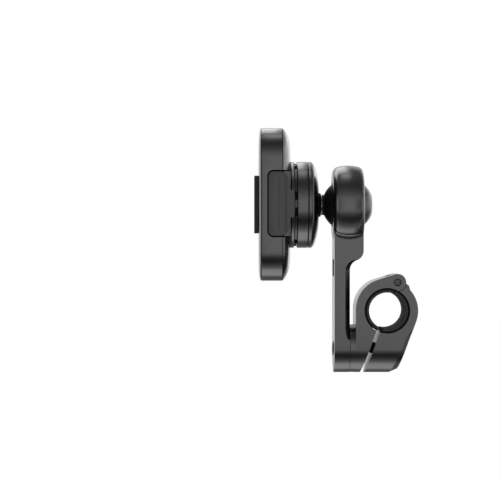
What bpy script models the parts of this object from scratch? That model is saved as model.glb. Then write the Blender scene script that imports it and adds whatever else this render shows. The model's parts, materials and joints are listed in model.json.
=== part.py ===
"""Handlebar phone mount: hinged bar clamp, swivel arm, ball joint, turning disc and phone head.

Metres, +Z up. The origin is the centre of the handlebar bore, +Y runs along the bar,
and the phone faces -X.
"""

import math

import bmesh
import bpy
from mathutils import Matrix, Vector

for leftover in list(bpy.data.objects):
    bpy.data.objects.remove(leftover, do_unlink=True)

# Gaps
FIT = 0.0003            # between pieces that touch
RUN = 0.0004            # between pieces that turn or slide on each other
OVERCUT = 0.002         # how far a cutter reaches past the wall that it cuts

# Handlebar clamp
BAR_DIAMETER = 0.0318
SHIM_WALL = 0.0032
CLAMP_WIDTH = 0.034
CLAMP_TILT = math.radians(20)   # hinge, bore and slit lie on a line leaning this far back
BODY_WALL = 0.006
BODY_RISE = 0.0008
JAW_WALL = 0.0056
HINGE_WALL = 0.0051
KNUCKLE_RADIUS = 0.006
PIN_RADIUS = 0.0024
TONGUE_WIDTH = 0.012
SLIT_WIDTH = 0.0026
SLIT_OFFSET = -0.001
SHIM_END_GAP = 0.0028
JAW_SHOULDER = 0.0015            # how far the jaw reaches past its hinge clearance
JAW_SHOULDER_DROP = 0.0022
JAW_SHOULDER_ANGLE = math.radians(42)
JAW_CHAMFER = 0.0034
JAW_CHAMFER_START = 0.007        # below the bore's centre, along the slit
JAW_CHAMFER_GROWTH = 0.6         # power by which the chamfer grows from nothing
JAW_TOP_ANGLE = math.radians(-9)         # round the hinge, where the jaw's top meets its clearance
KNUCKLE_RUNOUT = math.radians(80)        # round the hinge, below the line square to the slit
SLOT_START = math.radians(100)           # round the hinge, ends of the slot for the tongue
SLOT_END = math.radians(290)
TONGUE_START = math.radians(30)          # round the hinge, ends of the tongue's round
TONGUE_END = math.radians(275)
TONGUE_ROOT = math.radians(30)           # round the bore, where the tongue joins the jaw

# Pinch bolt
PINCH_WALL = 0.0123
PINCH_SHANK_RADIUS = 0.0025
PINCH_HEAD_RADIUS = 0.00425
PINCH_HEAD_LENGTH = 0.005
PINCH_GRIP = 0.0072             # length in the clamp body
PINCH_SWING_ROOM = 0.0013       # the shank follows an arc when the jaw opens
WASHER_THICKNESS = 0.001
SLEEVE_RADIUS = 0.004
SLEEVE_DEPTH = 0.0055

# Arm and its pivot
PIVOT_DROP = 0.027
BOSS_LENGTH = 0.0039
BOSS_STEP = 0.0001
ARM_THICKNESS = 0.011
ARM_REACH = 0.1013              # pivot to ball centre
UPPER_THICKNESS = 0.0203
ARM_NARROW_TOP = 0.0285         # height where the arm starts to thicken
ARM_THICK_BOTTOM = 0.042        # height where it has its upper thickness
ARM_CHAMFER = 0.0034
ARM_CHAMFER_BOTTOM = -0.0205
ARM_CHAMFER_FULL = -0.0125
PIVOT_SHANK_RADIUS = 0.003
PIVOT_HEAD_RADIUS = 0.005
PIVOT_HEAD_LENGTH = 0.0046
PIVOT_HEAD_PROUD = 0.0008
PIVOT_GRIP = 0.0053             # length in the clamp body
POCKET_HEIGHT = 0.012
POCKET_WIDTH = 0.02
POCKET_DEPTH = 0.0008
POCKET_CENTRE_Z = 0.030

# Ball joint
BALL_RADIUS = 0.0183
BALL_FLAT_DEPTH = 0.0013        # how much of the ball the flat on its back takes off
RING_HALF_WIDTH = 0.011
RING_PROUD = 0.0008
RING_CROWN = 0.0036
RING_EDGE_WALL = 0.0032
RING_LIP = 0.0012
SEAT_WALL = 0.0021
TENSION_RING_WIDTH = 0.0031
NECK_RADIUS = 0.0072
NECK_LENGTH = 0.0026            # ball's front to the dome
COLLAR_RADIUS = 0.0084
NECK_RING_WIDTH = 0.0007
STUD_RADIUS = 0.005
STUD_THREAD = 0.008             # depth of the thread in the stud's end
KEY_SIDE = 0.005                # square key hole in the ball's flat
KEY_CORNER = 0.0006
KEY_DEPTH = 0.004
SPANNER_SLOT = 0.0024           # width of the tension ring's slots
SPANNER_SLOT_DEPTH = 0.0012

# Disc
DISC_RADIUS = 0.0305
DOME_DEPTH = 0.0077
DOME_RIM = 0.0018
DOME_FLAT_RADIUS = 0.0094
SHELL_WALL = 0.002
DISC_DEPTH = 0.0078
DISC_WEB = 0.0025
DETENT_DEPTH = 0.0016
DETENT_RECESS = 0.002           # depth of the windows round the ring
DETENT_WINDOW = math.radians(12)
DETENT_WINDOW_ANGLES = (11.5, 45.0, 78.5)       # degrees, in each quarter
LOCK_RING_DEPTH = 0.0027
DISC_SCREW_INSET = 0.0095       # disc's rim to the screws' centres
DISC_POST_RADIUS = 0.0028
SPINDLE_RADIUS = 0.0075
SPINDLE_FLANGE_RADIUS = 0.012
SPINDLE_FLANGE = 0.002
SPINDLE_SCREW_RADIUS = 0.0025
SPINDLE_HEAD_RADIUS = 0.00425
SPINDLE_HEAD_LENGTH = 0.003
HUB_DEPTH = 0.0054              # thickness of the back cover at the spindle

# Phone head
HEAD_HEIGHT = 0.107
HEAD_CORNER = 0.022
HEAD_GAP = 0.00045              # lock ring to back cover
BACK_DEPTH = 0.00585
BACK_BORDER = 0.020             # width of the sloping border of the back
BACK_STEPS = (0, 0.125, 0.25, 0.4, 0.575, 0.75, 1)      # shares of the border, close at its edge
BACK_HOLLOW_SHARE = 0.75        # of the border, where the hollow inside ends
FRAME_DEPTH = 0.0149
FRAME_WALL = 0.007
FRAME_WEB = 0.0025
PAD_DEPTH = 0.0017
BOSS_SIDE = 0.040
BOSS_CORNER = 0.0035
BOSS_DEPTH = 0.0026
BOSS_EDGE = 0.0005
PLATE_SIDE = 0.030
PLATE_THICKNESS = 0.0015
BOSS_SCREW_SPACING = 0.020
COVER_SCREW_Y = 0.008
COVER_SCREW_INSET = 0.0175      # head's top and foot to the screws' centres
COVER_POST_RADIUS = 0.0035
COVER_SCREW_SINK = 0.0022       # back of the head to the screw's seat

# Side levers
LEVER_THICKNESS = 0.002
LEVER_AHEAD = 0.0095            # in front of the head's seam
LEVER_HALF_HEIGHT = 0.0223
LEVER_CORNER = 0.0035
LEVER_SHOULDER = 0.007          # size of the cut-away rear corners
TAB_HALF_HEIGHT = 0.00945
TAB_REACH = 0.0021              # how far the tab lies over the lock ring
TAB_GAP = 0.0005
LEVER_GAP = 0.0006
LEVER_ROOM = 0.0014             # depth behind the lever that it rocks into
LEVER_PIN_RADIUS = 0.0009
LEVER_PIN_AHEAD = 0.0024
LEVER_PIN_HALF_LENGTH = 0.0205
KNUCKLE_LOW = 0.010
KNUCKLE_HIGH = 0.016
LEVER_KNUCKLE_RADIUS = 0.002
SPRING_AHEAD = 0.007
SPRING_RADIUS = 0.0016
SPRING_WIRE = 0.0005
SPRING_LENGTH = 0.0038
SPRING_TURNS = 3

# Small screws
SCREW_SHANK_RADIUS = 0.0012
SCREW_HEAD_RADIUS = 0.0022
SCREW_HEAD_LENGTH = 0.0014
SCREW_GRIP = 0.005
RECESS_RADIUS_SHARE = 0.5       # of the head's radius, for every socket screw
RECESS_DEPTH_SHARE = 0.6        # of the head's length
HEAD_EDGE_SHARE = 0.12          # of the head's radius
TIP_SHARE = 0.25                # of the shank's radius

# Sides given to a full circle
FINE, MEDIUM, COARSE = 32, 20, 8

# Sizes that follow from those above
BAR_RADIUS = BAR_DIAMETER / 2
BODY_RADIUS = BAR_RADIUS + BODY_WALL
JAW_RADIUS = BAR_RADIUS + JAW_WALL
HINGE_REACH = BAR_RADIUS + HINGE_WALL
PINCH_REACH = BAR_RADIUS + PINCH_WALL
HALF_WIDTH = CLAMP_WIDTH / 2
SLIT_LEFT = SLIT_OFFSET - SLIT_WIDTH / 2
SLIT_RIGHT = SLIT_OFFSET + SLIT_WIDTH / 2
KNUCKLE_START = -CLAMP_TILT - KNUCKLE_RUNOUT    # where the hinge knuckle runs out into the bore
PIVOT_Z = -PIVOT_DROP
FOOT_Z = PIVOT_Z - HALF_WIDTH
BODY_LEFT = -BODY_RADIUS
SEAM_X = BODY_LEFT - BOSS_LENGTH
ARM_RIGHT = SEAM_X - FIT / 2
ARM_LEFT = SEAM_X - ARM_THICKNESS
UPPER_RIGHT = ARM_LEFT + UPPER_THICKNESS
BALL_X = ARM_LEFT - RING_PROUD + RING_HALF_WIDTH
BALL_Z = PIVOT_Z + ARM_REACH
BALL_FLAT = BALL_RADIUS - BALL_FLAT_DEPTH
SEAT_RADIUS = BALL_RADIUS + RUN
RING_BORE = SEAT_RADIUS + SEAT_WALL + FIT
RING_EDGE_RADIUS = RING_BORE + RING_EDGE_WALL
DOME_X = BALL_X - BALL_RADIUS - NECK_LENGTH
DISC_X = DOME_X - DOME_DEPTH
DETENT_X = DISC_X - DISC_DEPTH
DETENT_ROOT = DISC_RADIUS - DETENT_RECESS
DISC_SCREW_CIRCLE = DISC_RADIUS - DISC_SCREW_INSET
LOCK_X = DETENT_X - DETENT_DEPTH
LOCK_FRONT = LOCK_X - LOCK_RING_DEPTH
BACK_X = LOCK_FRONT - HEAD_GAP
HEAD_SEAM_X = BACK_X - BACK_DEPTH
PAD_X = HEAD_SEAM_X - FRAME_DEPTH
FRONT_X = PAD_X - PAD_DEPTH
LEVER_INNER = DISC_RADIUS + TAB_GAP
HEAD_HALF_WIDTH = LEVER_INNER + LEVER_THICKNESS
HEAD_HALF_HEIGHT = HEAD_HEIGHT / 2
COVER_SCREW_Z = HEAD_HALF_HEIGHT - COVER_SCREW_INSET
LEVER_FLOOR = LEVER_INNER - LEVER_ROOM
LEVER_FRONT = HEAD_SEAM_X - LEVER_AHEAD
LEVER_PIN_X = HEAD_SEAM_X - LEVER_PIN_AHEAD
LEVER_PIN_Y = LEVER_INNER - LEVER_KNUCKLE_RADIUS + LEVER_THICKNESS / 2

ORIGIN = Vector((0, 0, 0))
PIVOT = Vector((SEAM_X, 0, PIVOT_Z))
BALL = Vector((BALL_X, 0, BALL_Z))


def finish(name, colour, roughness, metallic):
    """A material for one piece."""
    material = bpy.data.materials.new(name)
    material.use_nodes = True
    shader = material.node_tree.nodes["Principled BSDF"]
    shader.inputs["Base Color"].default_value = (*colour, 1)
    shader.inputs["Roughness"].default_value = roughness
    shader.inputs["Metallic"].default_value = metallic
    return material


ANODISED = ((0.045, 0.045, 0.047), 0.42, 0.9)
STEEL = ((0.32, 0.32, 0.33), 0.35, 1.0)
BLACK_STEEL = ((0.02, 0.02, 0.021), 0.4, 0.8)
NYLON = ((0.018, 0.018, 0.018), 0.55, 0.0)
SILICONE = ((0.03, 0.03, 0.03), 0.7, 0.0)


def arc(centre, radius, start, end, steps):
    """Points on a circle from one angle to another, both ends included."""
    angles = [start + (end - start) * step / steps for step in range(steps + 1)]
    return [(centre[0] + radius * math.cos(a), centre[1] + radius * math.sin(a)) for a in angles]


def tilted(across, along):
    """A point of the clamp's leaning plane as (x, z): across the slit, and along it upwards."""
    lean_cos, lean_sin = math.cos(CLAMP_TILT), math.sin(CLAMP_TILT)
    return (across * lean_cos + along * lean_sin, along * lean_cos - across * lean_sin)


def tilted_at_height(across, height):
    """The point of a slit-wise line that lies at a given height."""
    along = (height + across * math.sin(CLAMP_TILT)) / math.cos(CLAMP_TILT)
    return tilted(across, along)


def rounded_rectangle(half_width, half_height, radius, steps):
    """A rectangle in (y, z) about the origin, with round corners."""
    outline = []
    for corner, (side_y, side_z) in enumerate(((1, 1), (-1, 1), (-1, -1), (1, -1))):
        centre = (side_y * (half_width - radius), side_z * (half_height - radius))
        start = corner * math.pi / 2
        outline += arc(centre, radius, start, start + math.pi / 2, steps)
    return outline


def solid(name, mesh_maker):
    """An object in world coordinates from a bmesh, with its faces pointing out."""
    bmesh.ops.remove_doubles(mesh_maker, verts=mesh_maker.verts, dist=1e-7)
    bmesh.ops.recalc_face_normals(mesh_maker, faces=mesh_maker.faces)
    mesh = bpy.data.meshes.new(name)
    mesh_maker.to_mesh(mesh)
    mesh_maker.free()
    piece = bpy.data.objects.new(name, mesh)
    bpy.context.scene.collection.objects.link(piece)
    return piece


def bridged(name, rings):
    """A closed solid through rings of points that all have as many points."""
    maker = bmesh.new()
    loops = [[maker.verts.new(point) for point in ring] for ring in rings]
    count = len(loops[0])
    for low, high in zip(loops, loops[1:]):
        for i in range(count):
            maker.faces.new((low[i], low[(i + 1) % count], high[(i + 1) % count], high[i]))
    maker.faces.new(loops[0])
    maker.faces.new(loops[-1])
    return solid(name, maker)


def prism(name, outline, low, high, axis):
    """An outline pushed along an axis: (x, z) along Y, (y, z) along X or (x, y) along Z."""
    place = {
        "X": lambda point, depth: (depth, point[0], point[1]),
        "Y": lambda point, depth: (point[0], depth, point[1]),
        "Z": lambda point, depth: (point[0], point[1], depth),
    }[axis]
    return bridged(name, [[place(point, depth) for point in outline] for depth in (low, high)])


def turned(name, profile, steps, centre=ORIGIN, lean=0.0, spin=0.0):
    """A profile of (along, radius) turned about an axis along X, which may lean about Y or Z.

    The profile is a closed loop, or runs from one point on the axis to another.
    """
    maker = bmesh.new()
    loops = []
    for along, radius in profile:
        if radius == 0:
            loops.append([maker.verts.new((along, 0, 0))] * steps)
            continue
        angles = [2 * math.pi * step / steps for step in range(steps)]
        ring = [(along, radius * math.cos(a), radius * math.sin(a)) for a in angles]
        loops.append([maker.verts.new(point) for point in ring])
    open_ended = profile[0][1] == 0
    followers = loops[1:] if open_ended else loops[1:] + loops[:1]
    for first, second in zip(loops, followers):
        for i in range(steps):
            j = (i + 1) % steps
            corners = list(dict.fromkeys((first[i], first[j], second[j], second[i])))
            maker.faces.new(corners)
    piece = solid(name, maker)
    place = Matrix.Translation(centre) @ Matrix.Rotation(lean, 4, "Y") @ Matrix.Rotation(spin, 4, "Z")
    piece.data.transform(place)
    return piece


def rod(name, radius, low, high, steps, **place):
    """A plain round bar between two points of its axis."""
    return turned(name, [(low, 0), (low, radius), (high, radius), (high, 0)], steps, **place)


def tube(name, inner, outer, low, high, steps, **place):
    """A round bar with a bore."""
    profile = [(low, inner), (low, outer), (high, outer), (high, inner)]
    return turned(name, profile, steps, **place)


def stepped_hole(name, sections, end, steps, **place):
    """A cutter for a hole of several bores, each given as (start, radius); the last stops at the end."""
    profile = [(sections[0][0], 0)]
    stops = [start for start, radius in sections[1:]] + [end]
    for (start, radius), stop in zip(sections, stops):
        profile += [(start, radius), (stop, radius)]
    profile.append((end, 0))
    return turned(name, profile, steps, **place)


def carve(target, tool, operation="DIFFERENCE", solver="EXACT"):
    """Cuts one solid by another, or joins them, and removes the tool."""
    step = target.modifiers.new(operation.lower(), "BOOLEAN")
    step.operation = operation
    step.solver = solver
    step.object = tool
    bpy.context.view_layer.update()
    graph = bpy.context.evaluated_depsgraph_get()
    shaped = bpy.data.meshes.new_from_object(target.evaluated_get(graph))
    target.modifiers.clear()
    worn = target.data
    target.data = shaped
    bpy.data.meshes.remove(worn)
    bpy.data.objects.remove(tool, do_unlink=True)


def complete(piece, pivot, parent, look):
    """Gives a piece its origin, parent, material and shading."""
    piece.data.transform(Matrix.Translation(-Vector(pivot)))
    piece.parent = parent
    piece.location = Vector(pivot) - parent.location
    piece.data.materials.clear()
    piece.data.materials.append(finish(piece.name, *look))
    piece.data.shade_smooth()
    piece.data.set_sharp_from_angle(angle=math.radians(35))
    return piece


def joint_empty(name, place):
    """An empty on a joint's axis, which the pieces that move with it are parented to."""
    empty = bpy.data.objects.new(name, None)
    empty.location = place
    empty.empty_display_size = 0.01
    bpy.context.scene.collection.objects.link(empty)
    return empty


def full_round(name, low, high, top):
    """The shared end view of clamp and arm: straight flanks with a half-round foot."""
    outline = arc((0, PIVOT_Z), HALF_WIDTH, math.pi, 2 * math.pi, FINE // 2)
    outline += [(HALF_WIDTH, top), (-HALF_WIDTH, top)]
    return prism(name, outline, low, high, "X")


def bar_bore(name):
    return rod(name, BAR_RADIUS, -CLAMP_WIDTH, CLAMP_WIDTH, FINE, spin=math.pi / 2)


HINGE = Vector((tilted(0, HINGE_REACH)[0], 0, tilted(0, HINGE_REACH)[1]))
HINGE_XZ = (HINGE.x, HINGE.z)
PINCH = Vector((tilted(0, -PINCH_REACH)[0], 0, tilted(0, -PINCH_REACH)[1]))

ROOT = joint_empty("clamp_frame", ORIGIN)
JAW_AXIS = joint_empty("jaw_axis", HINGE)
PINCH_AXIS = joint_empty("pinch_axis", PINCH)
ARM_AXIS = joint_empty("arm_axis", PIVOT)
BALL_CENTRE = joint_empty("ball_centre", BALL)
HEAD_AXIS = joint_empty("head_axis", Vector((BACK_X, 0, BALL_Z)))


def pin_hole(name):
    return rod(name, PIN_RADIUS + FIT, -CLAMP_WIDTH, CLAMP_WIDTH, FINE // 2,
               centre=HINGE, spin=math.pi / 2)


def make_clamp_body():
    centre = (0, BODY_RISE)
    apart = math.hypot(HINGE.x, HINGE.z - BODY_RISE)
    towards_hinge = math.atan2(HINGE.z - BODY_RISE, HINGE.x)
    tangent = towards_hinge + math.acos((BODY_RADIUS - KNUCKLE_RADIUS) / apart)
    below = FOOT_Z - OVERCUT
    outline = [(BODY_LEFT, below), tilted_at_height(SLIT_LEFT, below), tilted(SLIT_LEFT, 0)]
    outline += arc(HINGE_XZ, KNUCKLE_RADIUS, KNUCKLE_START, tangent, FINE // 3)
    outline += arc(centre, BODY_RADIUS, tangent, math.pi, FINE // 4)
    body = prism("clamp_body", outline, -CLAMP_WIDTH, CLAMP_WIDTH, "Y")
    carve(body, full_round("flanks", -CLAMP_WIDTH * 2, CLAMP_WIDTH * 2, CLAMP_WIDTH * 2), "INTERSECT")
    boss = rod("boss", HALF_WIDTH - BOSS_STEP, SEAM_X + FIT / 2, BODY_LEFT + OVERCUT, FINE,
               centre=(0, 0, PIVOT_Z))
    carve(body, boss, "UNION")
    carve(body, bar_bore("bore"))
    slot_radius = KNUCKLE_RADIUS + RUN
    slot = arc(HINGE_XZ, slot_radius, SLOT_START, SLOT_END, FINE // 3)
    above = 2 * BODY_RADIUS
    slot += [(BODY_RADIUS, 0), (BODY_RADIUS, above), (HINGE.x - slot_radius / 2, above)]
    half_slot = TONGUE_WIDTH / 2 + RUN
    carve(body, prism("slot", slot, -half_slot, half_slot, "Y"))
    carve(body, pin_hole("pin_hole"))
    thread = PINCH_SHANK_RADIUS + PINCH_SWING_ROOM
    hole_end = SLIT_LEFT - PINCH_GRIP - PINCH_SWING_ROOM
    carve(body, rod("thread", thread, hole_end, 0, FINE // 2, centre=PINCH, lean=CLAMP_TILT))
    carve(body, rod("pivot_hole", PIVOT_SHANK_RADIUS + FIT, SEAM_X - OVERCUT, SEAM_X + PIVOT_GRIP + FIT,
                    FINE // 2, centre=(0, 0, PIVOT_Z)))
    complete(body, ORIGIN, ROOT, ANODISED)


def make_clamp_jaw():
    below = FOOT_Z - OVERCUT
    clear = KNUCKLE_RADIUS + RUN
    straight_top = -CLAMP_TILT
    outline = [tilted_at_height(SLIT_RIGHT, below), tilted_at_height(JAW_RADIUS, below)]
    outline += arc((0, 0), JAW_RADIUS, straight_top, JAW_SHOULDER_ANGLE, FINE // 5)
    shoulder = (HINGE.x + clear + JAW_SHOULDER, HINGE.z - JAW_SHOULDER_DROP)
    outline.append(shoulder)
    outline += arc(HINGE_XZ, clear, JAW_TOP_ANGLE, KNUCKLE_START, FINE // 5)
    outline.append(tilted(SLIT_RIGHT, 0))
    jaw = prism("clamp_jaw", outline, -CLAMP_WIDTH, CLAMP_WIDTH, "Y")
    carve(jaw, full_round("flanks", -CLAMP_WIDTH * 2, CLAMP_WIDTH * 2, CLAMP_WIDTH * 2), "INTERSECT")
    chamfer_jaw(jaw)
    tongue = arc(HINGE_XZ, KNUCKLE_RADIUS, TONGUE_START, TONGUE_END, FINE // 3)
    root_radius = BAR_RADIUS + JAW_WALL / 2
    tongue.append((root_radius * math.cos(TONGUE_ROOT), root_radius * math.sin(TONGUE_ROOT)))
    tongue.append((shoulder[0] - JAW_SHOULDER / 3, shoulder[1] - JAW_SHOULDER / 3))
    carve(jaw, prism("tongue", tongue, -TONGUE_WIDTH / 2, TONGUE_WIDTH / 2, "Y"), "UNION")
    carve(jaw, bar_bore("bore"))
    carve(jaw, pin_hole("pin_hole"))
    bores = [(SLIT_LEFT - OVERCUT, SLEEVE_RADIUS + FIT),
             (SLIT_RIGHT + SLEEVE_DEPTH + FIT, PINCH_SHANK_RADIUS + RUN),
             (seat_depth(), PINCH_HEAD_RADIUS + RUN)]
    carve(jaw, stepped_hole("pinch_hole", bores, JAW_RADIUS + OVERCUT, FINE // 2,
                            centre=PINCH, lean=CLAMP_TILT))
    complete(jaw, HINGE, JAW_AXIS, ANODISED)


def chamfer_cutter(name, corners, first_ways, second_ways, widths):
    """A three-sided bar along an edge, which cuts a chamfer of the given width at each corner point.

    The two ways at a point are the outward directions of the faces that meet in the edge.
    """
    over = OVERCUT / 4
    rings = []
    for corner, first, second, width in zip(corners, first_ways, second_ways, widths):
        reach = width + over
        rings.append([corner - reach * first + over * second, corner + over * first - reach * second,
                      corner + over * first + over * second])
    return bridged(name, rings)


def chamfer_jaw(jaw):
    """Breaks the outer edges of the jaw's lower face, round its half-round foot."""
    face = Vector((math.cos(CLAMP_TILT), 0, -math.sin(CLAMP_TILT)))
    top = tilted(JAW_RADIUS, -JAW_CHAMFER_START)[1]
    flank = [(-HALF_WIDTH, top + (PIVOT_Z - top) * step / 4) for step in range(4)]
    foot = arc((0, PIVOT_Z), HALF_WIDTH, math.pi, 2 * math.pi, FINE // 3)
    edge = flank + foot + [(-y, z) for y, z in reversed(flank)]
    corners, ways, widths = [], [], []
    for y, z in edge:
        corners.append(Vector((tilted_at_height(JAW_RADIUS, z)[0], y, z)))
        ways.append(Vector((0, y, min(z - PIVOT_Z, 0))).normalized())
        depth = (top - z) / (top - PIVOT_Z)
        grown = min(max(depth, 0), 1) ** JAW_CHAMFER_GROWTH
        widths.append(JAW_CHAMFER * grown if grown > 0 else -OVERCUT / 8)
    carve(jaw, chamfer_cutter("chamfer", corners, [face] * len(edge), ways, widths))


def seat_depth():
    """Where the pinch bolt's counterbore ends, across the slit from the bore's centre."""
    return JAW_RADIUS - PINCH_HEAD_LENGTH - WASHER_THICKNESS - 2 * FIT - RUN


def make_shims():
    outer, inner = BAR_RADIUS - FIT, BAR_RADIUS - SHIM_WALL
    middle = (outer + inner) / 2
    pull = SHIM_END_GAP / 2 / middle
    lean = math.pi / 2 - CLAMP_TILT
    sides = (("shim_fixed", lean, ROOT, ORIGIN), ("shim_jaw", lean + math.pi, JAW_AXIS, HINGE))
    for name, start, parent, pivot in sides:
        outline = arc((0, 0), outer, start + pull, start + math.pi - pull, FINE // 2)
        outline += arc((0, 0), inner, start + math.pi - pull, start + pull, FINE // 2)
        shim = prism(name, outline, -HALF_WIDTH + FIT, HALF_WIDTH - FIT, "Y")
        carve(shim, rod("knuckle_room", KNUCKLE_RADIUS + RUN, -CLAMP_WIDTH, CLAMP_WIDTH, FINE,
                        centre=HINGE, spin=math.pi / 2))
        complete(shim, pivot, parent, NYLON)


def make_hinge_pin():
    end, chamfer = HALF_WIDTH - FIT, PIN_RADIUS / 6
    profile = [(-end, 0), (-end, PIN_RADIUS - chamfer), (-end + chamfer, PIN_RADIUS)]
    profile += [(-along, radius) for along, radius in reversed(profile)]
    pin = turned("hinge_pin", profile, FINE // 2, centre=HINGE, spin=math.pi / 2)
    complete(pin, HINGE, ROOT, STEEL)


def socket_screw(name, shank, head, tip, seat, top, steps, **place):
    """A screw along +X from tip to top, with its head above the seat and a round-bottomed recess."""
    recess, depth = head * RECESS_RADIUS_SHARE, (top - seat) * RECESS_DEPTH_SHARE
    edge, lead = head * HEAD_EDGE_SHARE, shank * TIP_SHARE
    profile = [(tip, 0), (tip, shank - lead), (tip + lead, shank), (seat, shank), (seat, head)]
    profile += [(top - edge, head), (top, head - edge), (top, recess), (top - depth, recess)]
    profile.append((top - depth, 0))
    return turned(name, profile, steps, **place)


def make_pinch_bolt():
    seat = seat_depth() + FIT
    washer = tube("bolt_washer", PINCH_SHANK_RADIUS + RUN, PINCH_HEAD_RADIUS, seat,
                  seat + WASHER_THICKNESS, FINE // 2, centre=PINCH, lean=CLAMP_TILT)
    complete(washer, HINGE, JAW_AXIS, STEEL)
    head_seat = seat + WASHER_THICKNESS + FIT
    bolt = socket_screw("pinch_bolt", PINCH_SHANK_RADIUS, PINCH_HEAD_RADIUS, SLIT_LEFT - PINCH_GRIP,
                        head_seat, head_seat + PINCH_HEAD_LENGTH, FINE // 2,
                        centre=PINCH, lean=CLAMP_TILT)
    complete(bolt, PINCH, PINCH_AXIS, BLACK_STEEL)
    sleeve = tube("bolt_sleeve", PINCH_SHANK_RADIUS + RUN, SLEEVE_RADIUS, SLIT_LEFT + FIT,
                  SLIT_RIGHT + SLEEVE_DEPTH, FINE // 2, centre=PINCH, lean=CLAMP_TILT)
    complete(sleeve, HINGE, JAW_AXIS, NYLON)


def make_pivot_bolt():
    top = ARM_LEFT - PIVOT_HEAD_PROUD
    seat = top + PIVOT_HEAD_LENGTH
    centre = (0, 0, PIVOT_Z)
    washer = tube("pivot_washer", PIVOT_SHANK_RADIUS + FIT, PIVOT_HEAD_RADIUS, seat + FIT,
                  seat + FIT + WASHER_THICKNESS, FINE // 2, centre=centre)
    complete(washer, PIVOT, ROOT, STEEL)
    bolt = socket_screw("pivot_bolt", PIVOT_SHANK_RADIUS, PIVOT_HEAD_RADIUS, -SEAM_X - PIVOT_GRIP,
                        -seat, -top, FINE // 2, centre=centre, spin=math.pi)
    complete(bolt, PIVOT, ROOT, BLACK_STEEL)


def bend_size():
    """Radius and sweep of each half of the bend where the arm thickens."""
    step = UPPER_RIGHT - ARM_RIGHT
    rise = ARM_THICK_BOTTOM - ARM_NARROW_TOP
    radius = (step ** 2 + rise ** 2) / (4 * step)
    return radius, math.asin(rise / 2 / radius)


def lower_bend():
    """The lower half of that bend: (x, z)."""
    radius, sweep = bend_size()
    return arc((ARM_RIGHT + radius, ARM_NARROW_TOP), radius, math.pi, math.pi - sweep, FINE // 8)


def arm_outline():
    """The arm seen along the bar: (x, z), from its foot round to the ring head."""
    radius, sweep = bend_size()
    upper = arc((UPPER_RIGHT - radius, ARM_THICK_BOTTOM), radius, -sweep, 0, FINE // 8)
    outline = [(ARM_LEFT, FOOT_Z - OVERCUT), (ARM_RIGHT, FOOT_Z - OVERCUT)]
    outline += lower_bend() + upper[1:]
    outline += [(UPPER_RIGHT, BALL_Z), (ARM_LEFT, BALL_Z)]
    return outline


def make_arm():
    arm = prism("arm", arm_outline(), -CLAMP_WIDTH, CLAMP_WIDTH, "Y")
    carve(arm, full_round("flanks", -CLAMP_WIDTH * 2, CLAMP_WIDTH, ARM_REACH), "INTERSECT")
    chamfer_arm(arm)
    head_room = ARM_LEFT - PIVOT_HEAD_PROUD + PIVOT_HEAD_LENGTH + WASHER_THICKNESS + 2 * FIT
    shank, head = PIVOT_SHANK_RADIUS + RUN, PIVOT_HEAD_RADIUS + RUN
    bores = [(ARM_LEFT - OVERCUT, head), (head_room, shank)]
    carve(arm, stepped_hole("pivot_hole", bores, SEAM_X + OVERCUT, FINE // 2, centre=(0, 0, PIVOT_Z)))
    pocket = rounded_rectangle(POCKET_WIDTH / 2, POCKET_HEIGHT / 2, POCKET_HEIGHT / 4, FINE // 12)
    pocket = [(y, z + POCKET_CENTRE_Z) for y, z in pocket]
    carve(arm, prism("pocket", pocket, ARM_LEFT - OVERCUT, ARM_LEFT + POCKET_DEPTH, "X"))
    half, edge = RING_HALF_WIDTH, RING_EDGE_RADIUS
    bow = (half ** 2 + RING_CROWN ** 2) / (2 * RING_CROWN)
    swing = math.asin(half / bow)
    crown = [(bow * math.sin(a), edge + RING_CROWN - bow * (1 - math.cos(a)))
             for a in (swing * (step / 5 - 1) for step in range(11))]
    barrel = [(-half, 0)] + crown + [(half, 0)]
    carve(arm, turned("barrel", barrel, FINE, centre=BALL), "UNION")
    lip = math.sqrt(SEAT_RADIUS ** 2 - (half - RING_LIP) ** 2)
    bore = [(-half - OVERCUT, 0), (-half - OVERCUT, lip), (-half + RING_LIP, lip)]
    bore += [(-half + RING_LIP, RING_BORE), (half + OVERCUT, RING_BORE), (half + OVERCUT, 0)]
    carve(arm, turned("ring_bore", bore, FINE, centre=BALL))
    complete(arm, PIVOT, ARM_AXIS, ANODISED)


def chamfer_arm(arm):
    """Breaks the arm's rear edges from the pivot to where the arm thickens, fading out at both ends."""
    lower = lower_bend()
    bend_centre = Vector((ARM_RIGHT + bend_size()[0], 0, ARM_NARROW_TOP))
    straight = [(ARM_RIGHT, height) for height in arm_chamfer_heights()]
    path = straight + lower[1:]
    count = len(straight)
    ways = [Vector((1, 0, 0))] * count
    ways += [(bend_centre - Vector((x, 0, z))).normalized() for x, z in lower[1:]]
    rise = ARM_CHAMFER_FULL - ARM_CHAMFER_BOTTOM
    widths = []
    for x, z in path:
        grow = min(max((z - ARM_CHAMFER_BOTTOM) / rise, 0), 1)
        fade = min(max((lower[-1][1] - z) / (lower[-1][1] - ARM_NARROW_TOP), 0), 1)
        width = ARM_CHAMFER * math.sqrt(grow * (2 - grow)) * math.sqrt(fade)
        widths.append(width if width > 0 else -OVERCUT / 8)
    for side in (-1, 1):
        corners = [Vector((x, side * HALF_WIDTH, z)) for x, z in path]
        flank = [Vector((0, side, 0))] * len(path)
        carve(arm, chamfer_cutter("chamfer", corners, ways, flank, widths))


def arm_chamfer_heights():
    """Heights along the straight part of the arm's rear edge: close together where the chamfer grows."""
    rise = ARM_CHAMFER_FULL - ARM_CHAMFER_BOTTOM
    growing = [ARM_CHAMFER_BOTTOM + rise * share for share in (0, 0.1, 0.3, 0.6, 1)]
    return growing + [ARM_NARROW_TOP]


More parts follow.
